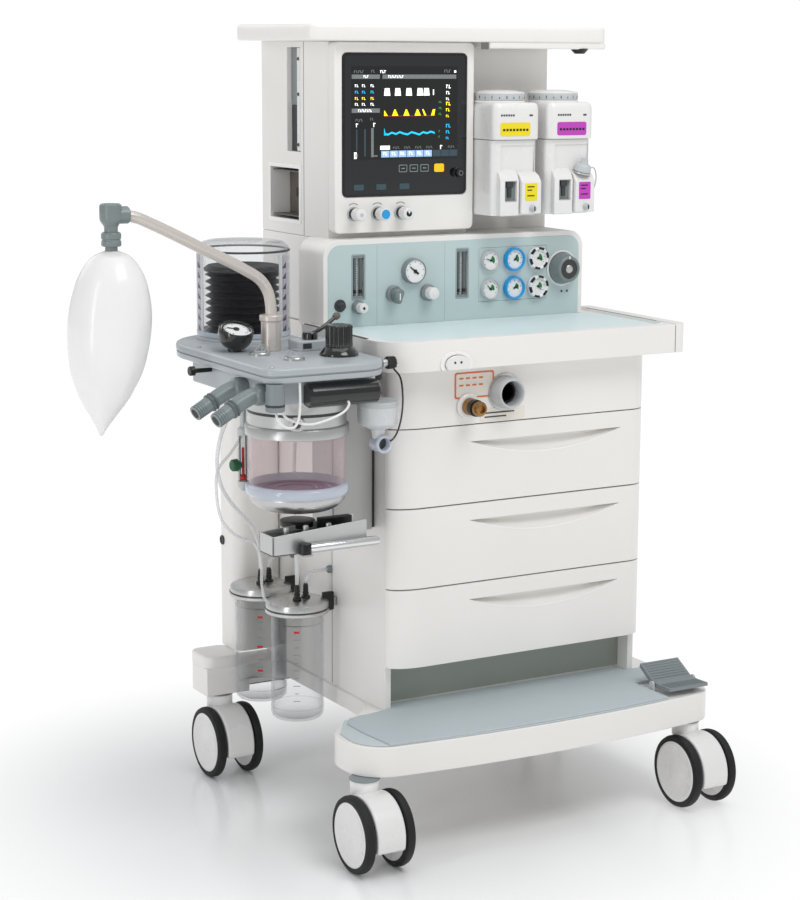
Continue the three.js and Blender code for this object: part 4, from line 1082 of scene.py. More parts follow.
def glyphs(u, v, count, size=0.012):
    """A row of small upright bars that stands for a figure on the display."""
    marks = []
    for i in range(count):
        left = u + i * size * 1.35
        marks.append(on_screen(left, left + size * 0.38, v, v + size * 2.1, 0.4))
        if i % 2 == 0:
            marks.append(on_screen(left, left + size, v, v + size * 0.45, 0.4))
        else:
            marks.append(on_screen(left, left + size, v + size * 1.65, v + size * 2.1, 0.4))
    return joined(*marks)


def screen_polygon(points):
    """A filled shape on the display, from points in the display's own u and v."""
    x0, x1, z0, z1 = DISPLAY
    outline = [(x0 + (x1 - x0) * u, z1 - (z1 - z0) * v) for u, v in points]
    return prism(outline, BEZEL_FRONT - 1.3 - 0.4, BEZEL_FRONT - 1.2, "y")


def show(name, material, *shapes):
    """A piece of the display picture."""
    piece(f"display_{name}", material, *shapes)


def add_display():
    """Plain bars, wave traces and coloured figures that stand for the readings, with no real text."""
    show("background", "display_black", on_screen(0, 1, 0, 1, 0.05))
    show("status_figures", "screen_grey", glyphs(0.02, 0.045, 5, 0.014), glyphs(0.18, 0.04, 2, 0.014),
         glyphs(0.87, 0.035, 3, 0.016))
    show("status_bright", "screen_white", glyphs(0.265, 0.045, 3, 0.014),
         on_screen(0.965, 0.985, 0.045, 0.07))
    show("headers", "screen_grey", on_screen(0.0, 0.26, 0.09, 0.135, 0.2),
         on_screen(0.285, 0.985, 0.09, 0.135, 0.2), on_screen(0.0, 0.26, 0.45, 0.495, 0.2))
    show("header_figures", "screen_white", glyphs(0.11, 0.1, 3, 0.012), glyphs(0.34, 0.1, 9, 0.012),
         glyphs(0.06, 0.46, 8, 0.012))
    rows = (("screen_white", 0.195), ("screen_cyan", 0.262), ("screen_yellow", 0.33), ("screen_white", 0.392))
    for index, (material, v) in enumerate(rows):
        show(f"table_row_{index}", material, *[glyphs(u, v, 2, 0.013) for u in (0.03, 0.095, 0.175)])
    show("bars_grey", "screen_grey", on_screen(0.18, 0.203, 0.66, 0.97), on_screen(0.03, 0.055, 0.93, 0.97),
         glyphs(0.035, 0.56, 4, 0.013), glyphs(0.17, 0.55, 2, 0.013), on_screen(0.203, 0.24, 0.95, 0.965))
    show("bars_dim", "screen_dim", on_screen(0.115, 0.13, 0.67, 0.96), on_screen(0.04, 0.052, 0.67, 0.9))
    show("bars_bright", "screen_white", on_screen(0.022, 0.045, 0.915, 0.985), glyphs(0.04, 0.61, 1, 0.018),
         glyphs(0.2, 0.605, 1, 0.02))
    show("pressure_wave", "screen_white",
         *[screen_polygon([(u, 0.315), (u + 0.006, 0.235), (u + 0.05, 0.235), (u + 0.058, 0.315)])
           for u in (0.3, 0.4, 0.505, 0.61, 0.672)], on_screen(0.762, 0.772, 0.25, 0.31, 0.4))
    show("flow_wave", "screen_yellow",
         *[screen_polygon([(u, 0.53), (u + 0.022, 0.462), (u + 0.032, 0.462), (u + 0.058, 0.53)])
           for u in (0.375, 0.482, 0.588)], screen_polygon([(0.3, 0.53), (0.302, 0.47), (0.335, 0.53)]),
         screen_polygon([(0.66, 0.462), (0.672, 0.462), (0.7, 0.53), (0.68, 0.53)]),
         screen_polygon([(0.745, 0.53), (0.762, 0.465), (0.785, 0.462), (0.775, 0.53)]))
    show("flow_base_line", "screen_red", on_screen(0.3, 0.79, 0.53, 0.536))
    centre = [0.71, 0.722, 0.7, 0.716, 0.696, 0.712, 0.722, 0.698, 0.71, 0.725, 0.7, 0.712, 0.695, 0.71]
    wave = [(0.3 + 0.037 * i, v) for i, v in enumerate(centre)]
    show("volume_wave", "screen_cyan", screen_polygon(wave + [(u, v + 0.02) for u, v in wave[::-1]]),
         screen_polygon([(0.3, 0.74), (0.302, 0.66), (0.318, 0.74)]))
    for index, (material, start) in enumerate((("screen_white", 0.2), ("screen_yellow", 0.385),
                                               ("screen_cyan", 0.625))):
        show(f"readings_{index}", material,
             *[glyphs(0.89, start + 0.07 * i, 2, 0.018 - 0.003 * i) for i in range(3)])
    show("reading_units", "screen_green", *[glyphs(0.82, 0.375 + 0.065 * i, 2, 0.011) for i in range(3)],
         *[glyphs(0.82, 0.69 + 0.06 * i, 1, 0.011) for i in range(2)])
    show("tab_active", "screen_white", on_screen(0.265, 0.355, 0.85, 0.893))
    show("tab_figures", "screen_grey", *[glyphs(u, 0.86, 4, 0.012) for u in (0.385, 0.49, 0.595, 0.7)],
         glyphs(0.91, 0.86, 4, 0.012))
    show("buttons", "screen_blue",
         *[on_screen(0.275 + 0.081 * i, 0.35 + 0.081 * i, 0.905, 0.975, 0.2) for i in range(6)])
    show("button_figures", "screen_white", *[glyphs(0.295 + 0.081 * i, 0.92, 2, 0.015) for i in range(6)],
         glyphs(0.835, 0.855, 1, 0.02))
    show("buttons_idle", "screen_dim",
         *[on_screen(0.765 + 0.08 * i, 0.84 + 0.08 * i, 0.905, 0.975, 0.2) for i in range(3)])


def add_monitor():
    x0, x1, z0, z1 = GLASS
    outline = rounded(BEZEL_LEFT, BEZEL_RIGHT, BEZEL_BOTTOM, SHELF_BOTTOM - 0.4, 10, 8)
    frame_shape = prism(outline, BEZEL_FRONT, BEZEL_BACK, "y")
    opening = rounded(x0 - 0.5, x1 + 0.5, z0 - 0.5, z1 + 0.5, 9, 8)
    pocket = prism(opening, BEZEL_FRONT - 5, BEZEL_FRONT + 5, "y")
    piece("monitor_bezel_frame", "shell", cut(frame_shape, pocket), replaces=["monitor_bezel"], bevel=3,
          segments=3, angle=50)
    piece("monitor_glass_pane", "screen_glass",
          prism(rounded(x0, x1, z0, z1, 8.6, 8), BEZEL_FRONT - 1, BEZEL_FRONT + 4, "y"),
          replaces=["monitor_glass"], bevel=0.8)
    border = cut(prism(rounded(x0, x1, z0, z1, 8.6, 8), BEZEL_FRONT - 1.25, BEZEL_FRONT, "y"),
                 prism(rounded(x0 + 4, x1 - 4, z0 + 4, z1 - 4, 5, 8), BEZEL_FRONT - 3, BEZEL_FRONT + 2, "y"))
    piece("monitor_glass_border", "display_black", border)
    add_display()
    face = BEZEL_FRONT - 1.4
    keys = []
    for x in (-104, -82, -60):
        outer = prism(rounded(x - 8.5, x + 8.5, 1114, 1127, 2), face - 0.2, face + 0.2, "y")
        inner = prism(rounded(x - 7.3, x + 7.3, 1115.2, 1125.8, 1.5), face - 2, face + 2, "y")
        keys.append(cut(outer, inner))
    piece("monitor_key_outlines", "tile_grey", *keys)
    piece("monitor_key_marks", "tile_grey",
          *[box(x - 3.5, x + 3.5, face - 0.25, face, 1119.6, 1121.4) for x in (-104, -82, -60)])
    piece("monitor_alarm_key", "key_orange",
          prism(rounded(-40, -20, 1113, 1127.5, 3), face - 0.8, face + 0.2, "y"), bevel=0.4)
    touch = [prism(rounded(x - 10, x + 10, 1084, 1094, 2), face - 0.1, face + 0.2, "y")
             for x in (-193, -148, -101)]
    piece("monitor_touch_marks", "screen_dim", *touch)
    x, z = 8, 1111
    start = -BEZEL_FRONT + 1.3
    skirt = [(0, start), (9, start), (9, start + 2.4), (8, start + 3.4), (0, start + 3.4)]
    piece("menu_knob_skirt", "black_gloss", turned_forward(skirt, x, z, 40), body="menu_knob",
          replaces=["menu_knob"])
    piece("menu_knob_grip", "black_plastic",
          facing_front(fluted(8.2, start + 3, start + 13.8, 20, 0.5, 1.2), x, z), body="menu_knob")
    piece("menu_knob_finger_dimple", "tile_grey",
          turned_forward(ring(3.6, 4.6, start + 13.4, start + 14, 0.2), x, z - 0.4, 24), body="menu_knob")


def add_fresh_gas_knobs():
    start = -BEZEL_FRONT + 0.3
    faces = {"left": "pale_grey", "middle": "ring_blue", "right": "dial_black"}
    for side, x in FLOW_KNOBS.items():
        body = f"fresh_gas_knob_{side}"
        stem = [(0, start), (9, start), (9, start + 6), (8, start + 8), (8, start + 12), (0, start + 12)]
        piece(f"{body}_stem", "dark_grey", turned_forward(stem, x, FLOW_KNOB_Z, 36), body=body,
              replaces=[body])
        piece(f"{body}_cap", "white_plastic",
              facing_front(fluted(11, start + 11, start + 31, 20, 0.5, 1.5), x, FLOW_KNOB_Z), body=body)
        size = {"left": 3.4, "middle": 8.4, "right": 5.4}[side]
        piece(f"{body}_face", faces[side], disc(size, start + 30.9, x, FLOW_KNOB_Z, 0.7, 36), body=body)
        if side == "right":
            piece(f"{body}_face_mark", "dial_white",
                  prism([(x - 3, FLOW_KNOB_Z + 5), (x, FLOW_KNOB_Z - 1), (x + 3, FLOW_KNOB_Z + 5)],
                        -start - 32.1, -start - 31.5, "y"), body=body)
        turn = [(x + 15 * math.sin(a), FLOW_KNOB_Z + 4 + 15 * math.cos(a))
                for a in [math.radians(-38 + 76 * i / 10) for i in range(11)]]
        back = [(x + 13.6 * math.sin(a), FLOW_KNOB_Z + 4 + 13.6 * math.cos(a))
                for a in [math.radians(38 - 76 * i / 10) for i in range(11)]]
        piece(f"{body}_arc", "tile_grey", prism(turn + back, BEZEL_FRONT - 0.3, BEZEL_FRONT + 0.5, "y"))
        piece(f"{body}_collar", "pale_grey",
              turned_forward(ring(9.8, 13, -BEZEL_FRONT - 0.3, -BEZEL_FRONT + 2, 0.4), x, FLOW_KNOB_Z, 36))


# ---- Tower and top shelf ----
def add_tower():
    plan = [(BEZEL_LEFT, BEZEL_BACK + 0.3), (BEZEL_RIGHT + 1, BEZEL_BACK + 0.3), (BEZEL_RIGHT + 1, 195.3),
            (TOWER_HALF, 195.3), (TOWER_HALF, TOWER_BACK), (-TOWER_HALF, TOWER_BACK), (-TOWER_HALF, 208)]
    bay = box(-260, -205, 233, 348, 1025, 1117)
    channel = box(-260, -238, 230, 282, 1147, 1330)
    upper = cut(prism(plan, PANEL_TOP - 1, SHELF_BOTTOM - 0.3), bay, channel)
    piece("tower_upper_shell", "shell", upper, replaces=["tower_body"], bevel=2.5, segments=3, angle=20)
    lower = box(-TOWER_HALF, TOWER_HALF, 195.3, TOWER_BACK, SURFACE_TOP + 0.4, PANEL_TOP - 1.4)
    piece("tower_lower_shell", "shell", lower, bevel=2.5, segments=3)
    bar = box(52, 256, 172.4, 196, 1118, 1150)
    piece("vaporizer_back_bar", "sheet_metal", bar, bevel=2)
    piece("vaporizer_back_bar_ends", "dark_grey", box(253, 257, 174, 194, 1121, 1147), bevel=1)
    seams = [box(-TOWER_HALF - 0.25, -TOWER_HALF + 1, 215, 216.4, PANEL_TOP, SHELF_BOTTOM - 1),
             box(TOWER_HALF - 1, TOWER_HALF + 0.25, 240, 241.4, SURFACE_TOP + 4, SHELF_BOTTOM - 1),
             box(-200, 200, TOWER_BACK - 1, TOWER_BACK + 0.25, 1000, 1001.4)]
    piece("tower_panel_seams", "shell_shadow", *seams)
    add_module_bay()
    add_rail_channel()
    add_tower_back()


def add_module_bay():
    x = -TOWER_HALF
    frame_shape = cut(box(x - 2, x + 1, 226, 355, 1018, 1124),
                      box(x - 9, x + 9, 233.4, 347.6, 1025.4, 1116.6))
    piece("module_bay_frame", "shell_edge", frame_shape, bevel=1.4, segments=3)
    piece("module_bay_panel", "module_brown", box(-212, -206, 233.4, 347.6, 1025.4, 1116.6), bevel=1)
    piece("module_bay_contacts", "dark_grey",
          *[box(-214, -211.5, 262 + 10 * i, 268 + 10 * i, 1062, 1078) for i in range(6)], bevel=0.5)
    piece("module_bay_guides", "shell_shadow", *[box(-246, -213, 234, 347, z, z + 2) for z in (1030, 1110)],
          bevel=0.5)


def add_rail_channel():
    piece("rail_channel_plate", "grey_plastic", box(-241, -238.4, 252, 281.6, 1230, 1329.6), bevel=0.5)
    piece("rail_channel_floor", "dark_grey", box(-240, -238.3, 230.4, 281.6, 1147.4, 1229), bevel=0.3)
    piece("rail_channel_strip", "white_plastic", box(-246, -239, 238, 250, 1148, 1329.5), bevel=1)
    screw = [(0, -247.4), (2.6, -247.4), (3.4, -246.6), (3.4, -245.5), (0, -245.5)]
    screws = [turned_across(screw, 244, z, 20) for z in (1159, 1248, 1310)]
    piece("rail_channel_screws", "black_gloss", *screws)


def add_tower_back():
    """Vents, cover screws, gas inlets and a mains inlet at the back, as such machines have."""
    y = TOWER_BACK
    slats = [box(-150 + 12 * i, -143 + 12 * i, y - 1, y + 0.9, 1180, 1260) for i in range(26)]
    piece("tower_back_vents", "dark_grey", *slats, bevel=0.6)
    spots = [(x, z) for x in (-230, 230) for z in (870, 985, 1020, 1325)]
    screws = [changed(turned_forward([(0, -2), (3.6, -1.6), (3.6, 0.5), (0, 0.5)], x, z, 18),
                      Matrix.Translation((0, y, 0)) @ Matrix.Rotation(math.pi, 4, "Z")
                      @ Matrix.Translation((-2 * x, 0, 0))) for x, z in spots]
    piece("tower_back_screws", "silver", *screws)
    plate = box(-120, 120, y - 1, y + 2, 880, 950)
    piece("gas_inlet_plate", "sheet_metal", plate, bevel=1)
    nozzle = lathe([(0, 0), (13, 0), (13, 3), (9, 4), (9, 8), (6, 9), (6, 13), (0, 13)], 24)
    inlets = [changed(nozzle, Matrix.Translation((x, y + 1, 915)) @ Matrix.Rotation(-math.pi / 2, 4, "X"))
              for x in (-80, -30, 20)]
    piece("gas_inlets", "brass", *inlets)
    inlet = cut(box(62, 106, y, y + 6, 898, 932), box(66, 102, y + 1.5, y + 9, 902, 928))
    piece("mains_inlet", "black_plastic", inlet, bevel=1)
    pins = [box(x, x + 2.4, y + 1, y + 5, z, z + 6) for x, z in ((74, 910), (83, 915), (92, 910))]
    piece("mains_inlet_pins", "silver", *pins)


def add_top_shelf():
    outline = rounded(-298, 318, 95, 400, 20, 10)
    levels = [(1341.3, 2.5), (1342.5, 0.8), (1345, 0), (1364, 0), (1367.5, 0.8), (1369.3, 2.6), (1370, 5.5)]
    piece("top_shelf_board", "shell", steps_of(outline, levels), replaces=["top_shelf"], angle=60)
    field = rounded(-288, 308, 105, 390, 14, 8)
    piece("top_shelf_mat", "teal", prism(field, 1369, 1369.9), bevel=0.3)
    thick = prism(rounded(60, 316, 97, 190, 8), 1330, 1342)
    piece("top_shelf_lamp_housing", "shell", thick, bevel=3, segments=3, angle=50)
    lamp = [(6.5, 1322), (9, 1322), (14, 1327), (17, 1331), (6.5, 1331)]
    piece("top_shelf_lamp_ring", "black_plastic", turned_up(lamp, 265, 112, 32))
    piece("top_shelf_lamp_lens", "lamp_glow",
          turned_up([(0, 1323), (5, 1323.4), (6.6, 1325), (6.6, 1330), (0, 1330)], 265, 112, 28))
    piece("top_shelf_seam", "shell_shadow", box(44, 60, 97, 98, 1329, 1341.2))


# ---- Vaporizers ----
VAPORIZER_BOTTOM = 1035
VAPORIZER_TOP = 1236
VAPORIZERS = {"left": 94, "right": 210}
DIAL_Y = 115


def add_vaporizer(side, x):
    add_vaporizer_body(side, x)
    add_filler(side, x)
    add_dial(side, x)


def add_vaporizer_body(side, x):
    back = 171.7
    name = f"vaporizer_{side}"
    head = steps_of(rounded(x - 49, x + 49, 50, back, 14, 8),
                    [(1170.4, 1.6), (1171.4, 0.4), (1173, 0), (1224, 0), (1231, 1.6), (1234.6, 4), (1236, 8)])
    piece(f"{name}_head", "white_plastic", head, replaces=[name], angle=55)
    lower = prism(rounded(x - 48, x + 48, 58, back, 12, 8), VAPORIZER_BOTTOM, 1169.4)
    niche = box(x - 30, x + 40, 40, 61, 1100, 1160)
    piece(f"{name}_body", "white_plastic", cut(lower, niche), bevel=2.5, segments=3, angle=50)
    piece(f"{name}_head_seam", "shell_shadow",
          prism(rounded(x - 47, x + 47, 59.4, back - 1, 12, 8), 1168.6, 1171))
    label = "label_yellow" if side == "left" else "label_magenta"
    shift = 0 if side == "left" else 5
    field = prism(rounded(x - 37 + shift, x + 26 + shift, 1177, 1201, 4), 49.3, 51, "y")
    piece(f"{name}_label", label, field, bevel=0.2)
    dashes = [box(x - 32 + shift + 7 * i, x - 27.4 + shift + 7 * i, 49, 49.6, 1186, 1190) for i in range(8)]
    piece(f"{name}_label_marks", "dial_black", *dashes)
    small = [box(x - 36 + shift + 5 * i, x - 32.6 + shift + 5 * i, 49.6, 50.6, 1212, 1215.4)
             for i in range(6)]
    piece(f"{name}_top_marks", "dark_grey", *small, box(x + 24, x + 31, 49.6, 50.6, 1212, 1215))


def add_filler(side, x):
    """The filler block with its sight window, beside the column that carries the agent sticker."""
    name = f"vaporizer_{side}"
    block = prism([(46, 1035), (66, 1035), (66, 1122), (52, 1110), (46, 1098)], x - 38, x + 2, "x")
    recess = box(x - 27, x - 3, 40, 54, 1061, 1098)
    piece(f"{name}_filler_block", "white_plastic", cut(block, recess), bevel=2.2, segments=3)
    piece(f"{name}_sight_back", "elbow_grey", box(x - 27, x - 3, 52.6, 54.6, 1061, 1098))
    piece(f"{name}_sight_frame", "silver",
          *[box(x - 27.4, x - 2.6, 46.4, 54, z, z + 2.4) for z in (1060, 1096.6)], bevel=0.5)
    piece(f"{name}_sight_window", "dark_grey", box(x - 23, x - 9, 48.4, 53, 1086, 1096.4),
          box(x - 20, x - 12, 49.4, 53, 1068, 1086), bevel=0.8)
    column = prism([(40, 1038), (66, 1038), (66, 1116), (48, 1106), (40, 1096)], x + 4, x + 46, "x")
    piece(f"{name}_column", "white_plastic", column, bevel=2.4, segments=3)
    label = "label_yellow" if side == "left" else "label_magenta"
    piece(f"{name}_sticker", label, prism(rounded(x + 11, x + 36, 1062, 1093, 2), 39.4, 41, "y"))
    piece(f"{name}_sticker_marks", "dial_black",
          *[box(x + 15, x + 15 + w, 39.1, 39.6, z, z + 2) for z, w in ((1086, 15), (1080, 10), (1070, 15))])
    drain = [(0, -41), (6.4, -41), (6.4, -37), (4.4, -33), (4, -31), (0, -31)]
    piece(f"{name}_drain_screw", "pale_grey", turned_forward(drain, x + 26, 1048, 24))
    piece(f"{name}_drain_slot", "dial_black", box(x + 24.8, x + 27.2, 30.6, 31.6, 1044, 1052))


def add_dial(side, x):
    body = f"vaporizer_dial_{side}"
    seat = turned_up([(0, 1235), (47, 1235), (47, 1237.6), (45.6, 1238.8), (0, 1238.8)], x, DIAL_Y, 48)
    piece(f"vaporizer_{side}_dial_seat", "shell_edge", seat)
    rim = VAPORIZER_TOP + 3.3
    piece(f"{body}_band", "pale_grey", moved(fluted(46, rim, rim + 12, 48, 0.5, 0.8), x, DIAL_Y), body=body,
          replaces=[body])
    dome = [(0, rim + 11), (43.6, rim + 11), (43.6, rim + 12.6), (40, rim + 15), (27, rim + 17.4),
            (0, rim + 18)]
    piece(f"{body}_cap", "white_plastic", turned_up(dome, x, DIAL_Y, 56), body=body)
    marks = []
    for i in range(14):
        turn = math.radians(-150 + 17 * i)
        bar = box(-0.7, 0.7, -46.2, -45, rim + 3, rim + (8 if i % 2 == 0 else 6))
        marks.append(moved(changed(bar, Matrix.Rotation(turn, 4, "Z")), x, DIAL_Y))
    piece(f"{body}_marks", "dark_grey", *marks, body=body)
    grip = changed(box(-5, 5, -45.6, -34, rim + 4, rim + 15), Matrix.Rotation(math.radians(48), 4, "Z"))
    piece(f"{body}_release", "white_plastic", moved(grip, x, DIAL_Y), body=body, bevel=1.6)


def add_filler_cap():
    """The right filler's screw cap on its spout, with a thin tether back to the body."""
    x = VAPORIZERS["right"]
    cap = [(0, -2), (15, -2), (16, 0), (14.6, 9), (12, 12), (8.6, 13), (7, 18), (6.4, 23), (0, 23.6)]
    foot, lean = (x + 24, 50, 1113), (0.12, -0.2, 0.97)
    piece("filler_cap", "pale_grey", turned_along(cap, foot, lean, 36))
    collar = [(12, -5), (16.4, -5), (16.4, -2.4), (12, -2.4)]
    piece("filler_cap_ring", "silver", turned_along(collar, foot, lean, 36))
    tether = [(x + 36, 48, 1116), (x + 46, 46, 1118), (x + 52, 46, 1104), (x + 50, 47, 1084),
              (x + 46, 50, 1072)]
    piece("filler_cap_tether", "pale_grey", tube(tether, 1.2, 36, 8))


# ---- Breathing system: plate, what stands on it and what hangs under it ----
PLATE_BOTTOM = 809
PLATE_TOP = 833
BLOCK_BOTTOM = 770
POST = (-431, -16)
BAG_X = -712
CANISTER = (-426, -100)
BELLOWS = (-402, 150)
LEVER = (-368, -35)
LOCK = (-455, -184, 529)
VALVES = ((-450, -139), (-474, -62))
VIEW_TURN = math.radians(-30.7)  # turn of the side with the dome's scales and the absorber's latch


def plate_outline():
    """Rounded wide round the bellows at the rear left and towards the work surface at the front right."""
    left, right, front, back = -538, -310, -224, 234
    return [*arc(left + 26, front + 26, 26, 180, 270, 8), *arc(right - 58, front + 58, 58, -90, 0, 14),
            *arc(right - 26, back - 26, 26, 0, 90, 8), *arc(left + 128, back - 128, 128, 90, 180, 24)]


def add_breathing_plate():
    plate = steps_of(plate_outline(), [(809, 3), (810.2, 1.6), (811.6, 1), (818, 1), (819, 3.6), (820.8, 3.6),
                                       (821.8, 0), (829, 0), (831.6, 1.2), (833, 4)])
    piece("breathing_plate_slab", "plate_blue", plate, replaces=["breathing_plate"], angle=50)
    block = prism(rounded(-520, -328, -195, 120, 20, 8), BLOCK_BOTTOM, PLATE_BOTTOM + 1)
    piece("breathing_block", "plate_blue", block, bevel=3, segments=3, angle=50)
    arm = box(-340, CABINET_LEFT + 1, 20, 110, 772, SURFACE_BOTTOM - 0.5)
    piece("breathing_support_arm", "silver_paint", arm, bevel=3, segments=3)
    x, y = LEVER
    switch_body = prism(rounded(x - 32, x + 30, y - 22, y + 26, 12, 6), PLATE_TOP - 1, 850)
    piece("bag_switch_housing", "plate_blue", switch_body, bevel=3, segments=3, angle=50)
    seat = [(0, PLATE_TOP - 1), (82, PLATE_TOP - 1), (82, PLATE_TOP + 3), (80.6, PLATE_TOP + 4.4),
            (80.6, PLATE_TOP + 6.6), (0, PLATE_TOP + 6.6)]
    piece("bellows_seat", "pale_grey", turned_up(seat, *BELLOWS, 64))
    manifold = [(0, -462), (17, -462), (20, -458), (20, -338), (17, -334), (0, -334)]
    piece("manifold_cylinder", "black_gloss", turned_across(manifold, -205, 784, 48))
    screw = [(0, 832.5), (4.2, 832.5), (4.2, 834), (3.4, 835), (1.6, 835), (1.4, 834), (0, 834)]
    screws = [turned_up(screw, *at, 20) for at in ((-524, -206), (-326, -10), (-524, 70))]
    piece("plate_screws", "silver", *screws)


def add_valves():
    for number, (x, y) in enumerate(VALVES):
        base = PLATE_TOP - 0.5
        collar = [(11.6, base), (17, base), (17, base + 4), (15.8, base + 5.6), (13.2, base + 5.6),
                  (11.6, base + 4)]
        piece(f"valve_collar_{number}", "silver", turned_up(collar, x, y, 40))
        dome = [(0, base + 4), (13, base + 4), (13.4, base + 7), (12.6, base + 14), (9.6, base + 17),
                (5, base + 18.2), (0, base + 18.4)]
        piece(f"valve_dome_{number}", "clear_plastic", turned_up(dome, x, y, 40))
        flap = [(0, base + 5), (10, base + 5), (10, base + 6.4), (0, base + 6.4)]
        cage = [tube([(x + 9 * math.cos(a), y + 9 * math.sin(a), base + 5),
                      (x + 6 * math.cos(a), y + 6 * math.sin(a), base + 14)], 0.8, 4, 6)
                for a in [math.pi * k / 2 for k in range(4)]]
        piece(f"valve_disc_{number}", "pale_grey", turned_up(flap, x, y, 32), *cage)


def tilted(shape, angle, at):
    """A shape that stands on the XY plane, leant towards the front and put in its place."""
    return changed(shape, Matrix.Translation(at) @ Matrix.Rotation(math.radians(angle), 4, "X"))


def add_airway_gauge():
    x, y = -491, 2
    at, lean = (x, y, PLATE_TOP + 9), 20
    bowl = [(0, 0), (17, 0), (22.5, 3), (26.6, 9), (28.8, 15), (29.4, 20), (29.4, 30.4), (28.4, 32.2),
            (26.2, 32.2), (25.8, 29.5), (0, 29.5)]
    piece("airway_gauge_bowl", "black_gloss", tilted(lathe(bowl, 56), lean, at),
          turned_up([(0, 833.3), (12, 833.3), (12, 850), (0, 850)], x, y - 2, 32), replaces=["airway_gauge"])
    face = tilted(lathe([(0, 29), (25.7, 29), (25.7, 30), (0, 30)], 48), lean, at)
    piece("airway_gauge_dial", "dial_white", face)
    marks = []
    for i in range(21):
        bar = box(-0.6, 0.6, 18.5 if i % 5 else 16.5, 21, 29.9, 30.3)
        marks.append(tilted(changed(bar, Matrix.Rotation(math.radians(-140 + 14 * i), 4, "Z")), lean, at))
    hand = changed(box(-1.1, 1.1, -5, 16, 30.6, 31.3), Matrix.Rotation(math.radians(62), 4, "Z"))
    hub = lathe([(0, 29.9), (5, 29.9), (5, 31.8), (3.6, 32.3), (0, 32.3)], 24)
    outer = arc(0, 0, 24.6, -30, 210, 40)
    inner = arc(0, 0, 21.6, 210, -30, 40)
    band = prism([*outer, *inner], 29.9, 30.5)
    piece("airway_gauge_scale", "dial_black", *marks, *[tilted(s, lean, at) for s in (hand, hub, band)])


def add_apl_knob():
    x, y = -359, -122
    flange = [(0, 833.3), (32, 833.3), (32, 835.6), (31, 837.4), (24, 846.6), (21, 848), (0, 848)]
    piece("apl_flange", "black_gloss", turned_up(flange, x, y, 56), body="apl_knob", replaces=["apl_knob"])
    piece("apl_grip", "black_gloss", moved(fluted(22.4, 847, 883.6, 20, 1.3, 2.4), x, y), body="apl_knob")
    marks = []
    for i in range(9):
        bar = changed(box(-0.8, 0.8, -30.6, -27, 0, 0.9), Matrix.Rotation(math.radians(-32), 4, "X"))
        turn = Matrix.Rotation(math.radians(-120 + 26 * i), 4, "Z")
        marks.append(moved(changed(moved(bar, 0, 4.4, 822.6), turn), x, y))
    piece("apl_scale", "tile_grey", *marks, body="apl_knob")
    top = turned_up([(0, 883), (14, 883), (14, 883.7), (0, 883.9)], x, y, 40)
    piece("apl_top_disc", "dark_grey", top, body="apl_knob")


def add_bag_lever():
    x, y = LEVER
    hub = turned_up([(0, 850.3), (13, 850.3), (13, 858), (11, 861.6), (0, 862)], x, y, 36)
    arm = tube([(x, y, 857), (x + 25, y + 6, 866), (x + 54, y + 14, 881)], 3.6, 20, 16)
    piece("bag_lever", "black_gloss", hub, arm, body="bag_vent_lever", replaces=["bag_vent_lever"])
    ball = turned_along([(0, -5), (4, -4), (6.2, 0), (6.4, 3), (5, 7), (2.6, 8.8), (0, 9)],
                        (x + 56, y + 14.5, 883), (0.9, 0.24, 0.35), 24)
    piece("bag_lever_knob", "module_brown", ball, body="bag_vent_lever")
    window = box(x - 24, x - 8, y - 22.6, y - 21.5, 837, 846)
    piece("bag_switch_window", "dark_grey", window, bevel=0.4)


PIPE_ROUTE = [(-431, -16, 880), (-431, -16, 905), (-436, -16, 930), (-450, -16, 951), (-478, -16, 969),
              (-560, -16, 1010), (-640, -16, 1049), (-672, -16, 1062), (-705, -16, 1066)]


def add_bag_arm():
    x, y = POST
    post = [(0, 833.3), (17, 833.3), (17, 881.4), (18, 882), (19.5, 883.6), (19.5, 891), (18.4, 892.4),
            (11, 893.6), (0, 893.6)]
    piece("bag_arm_post", "beige_metal", turned_up(post, x, y, 48), body="bag_arm", replaces=["bag_arm"])
    piece("bag_arm_pipe", "beige_metal", tube(PIPE_ROUTE, 9.5, 70, 24), body="bag_arm")
    elbow = [(0, 1039), (11, 1039), (11, 1047), (12, 1050), (14, 1052.6), (17, 1057), (18, 1061),
             (18, 1080), (17, 1083), (14, 1084.8), (0, 1084.8)]
    side = turned_across([(0, BAG_X), (14, BAG_X), (14, -684), (12, -682), (0, -682)], y, 1066, 32)
    piece("bag_elbow", "elbow_grey", turned_up(elbow, BAG_X, y, 40), side, body="bag_arm")
    neck = [(0, 1010.3), (10, 1010.3), (10, 1016), (15, 1017.4), (16, 1019), (16, 1025), (14.8, 1026.4),
            (14.8, 1028.4), (16, 1029.8), (16, 1037), (14, 1039.4), (0, 1039.4)]
    piece("bag_neck_connector", "elbow_grey", turned_up(neck, BAG_X, y, 40), body="bag_arm")


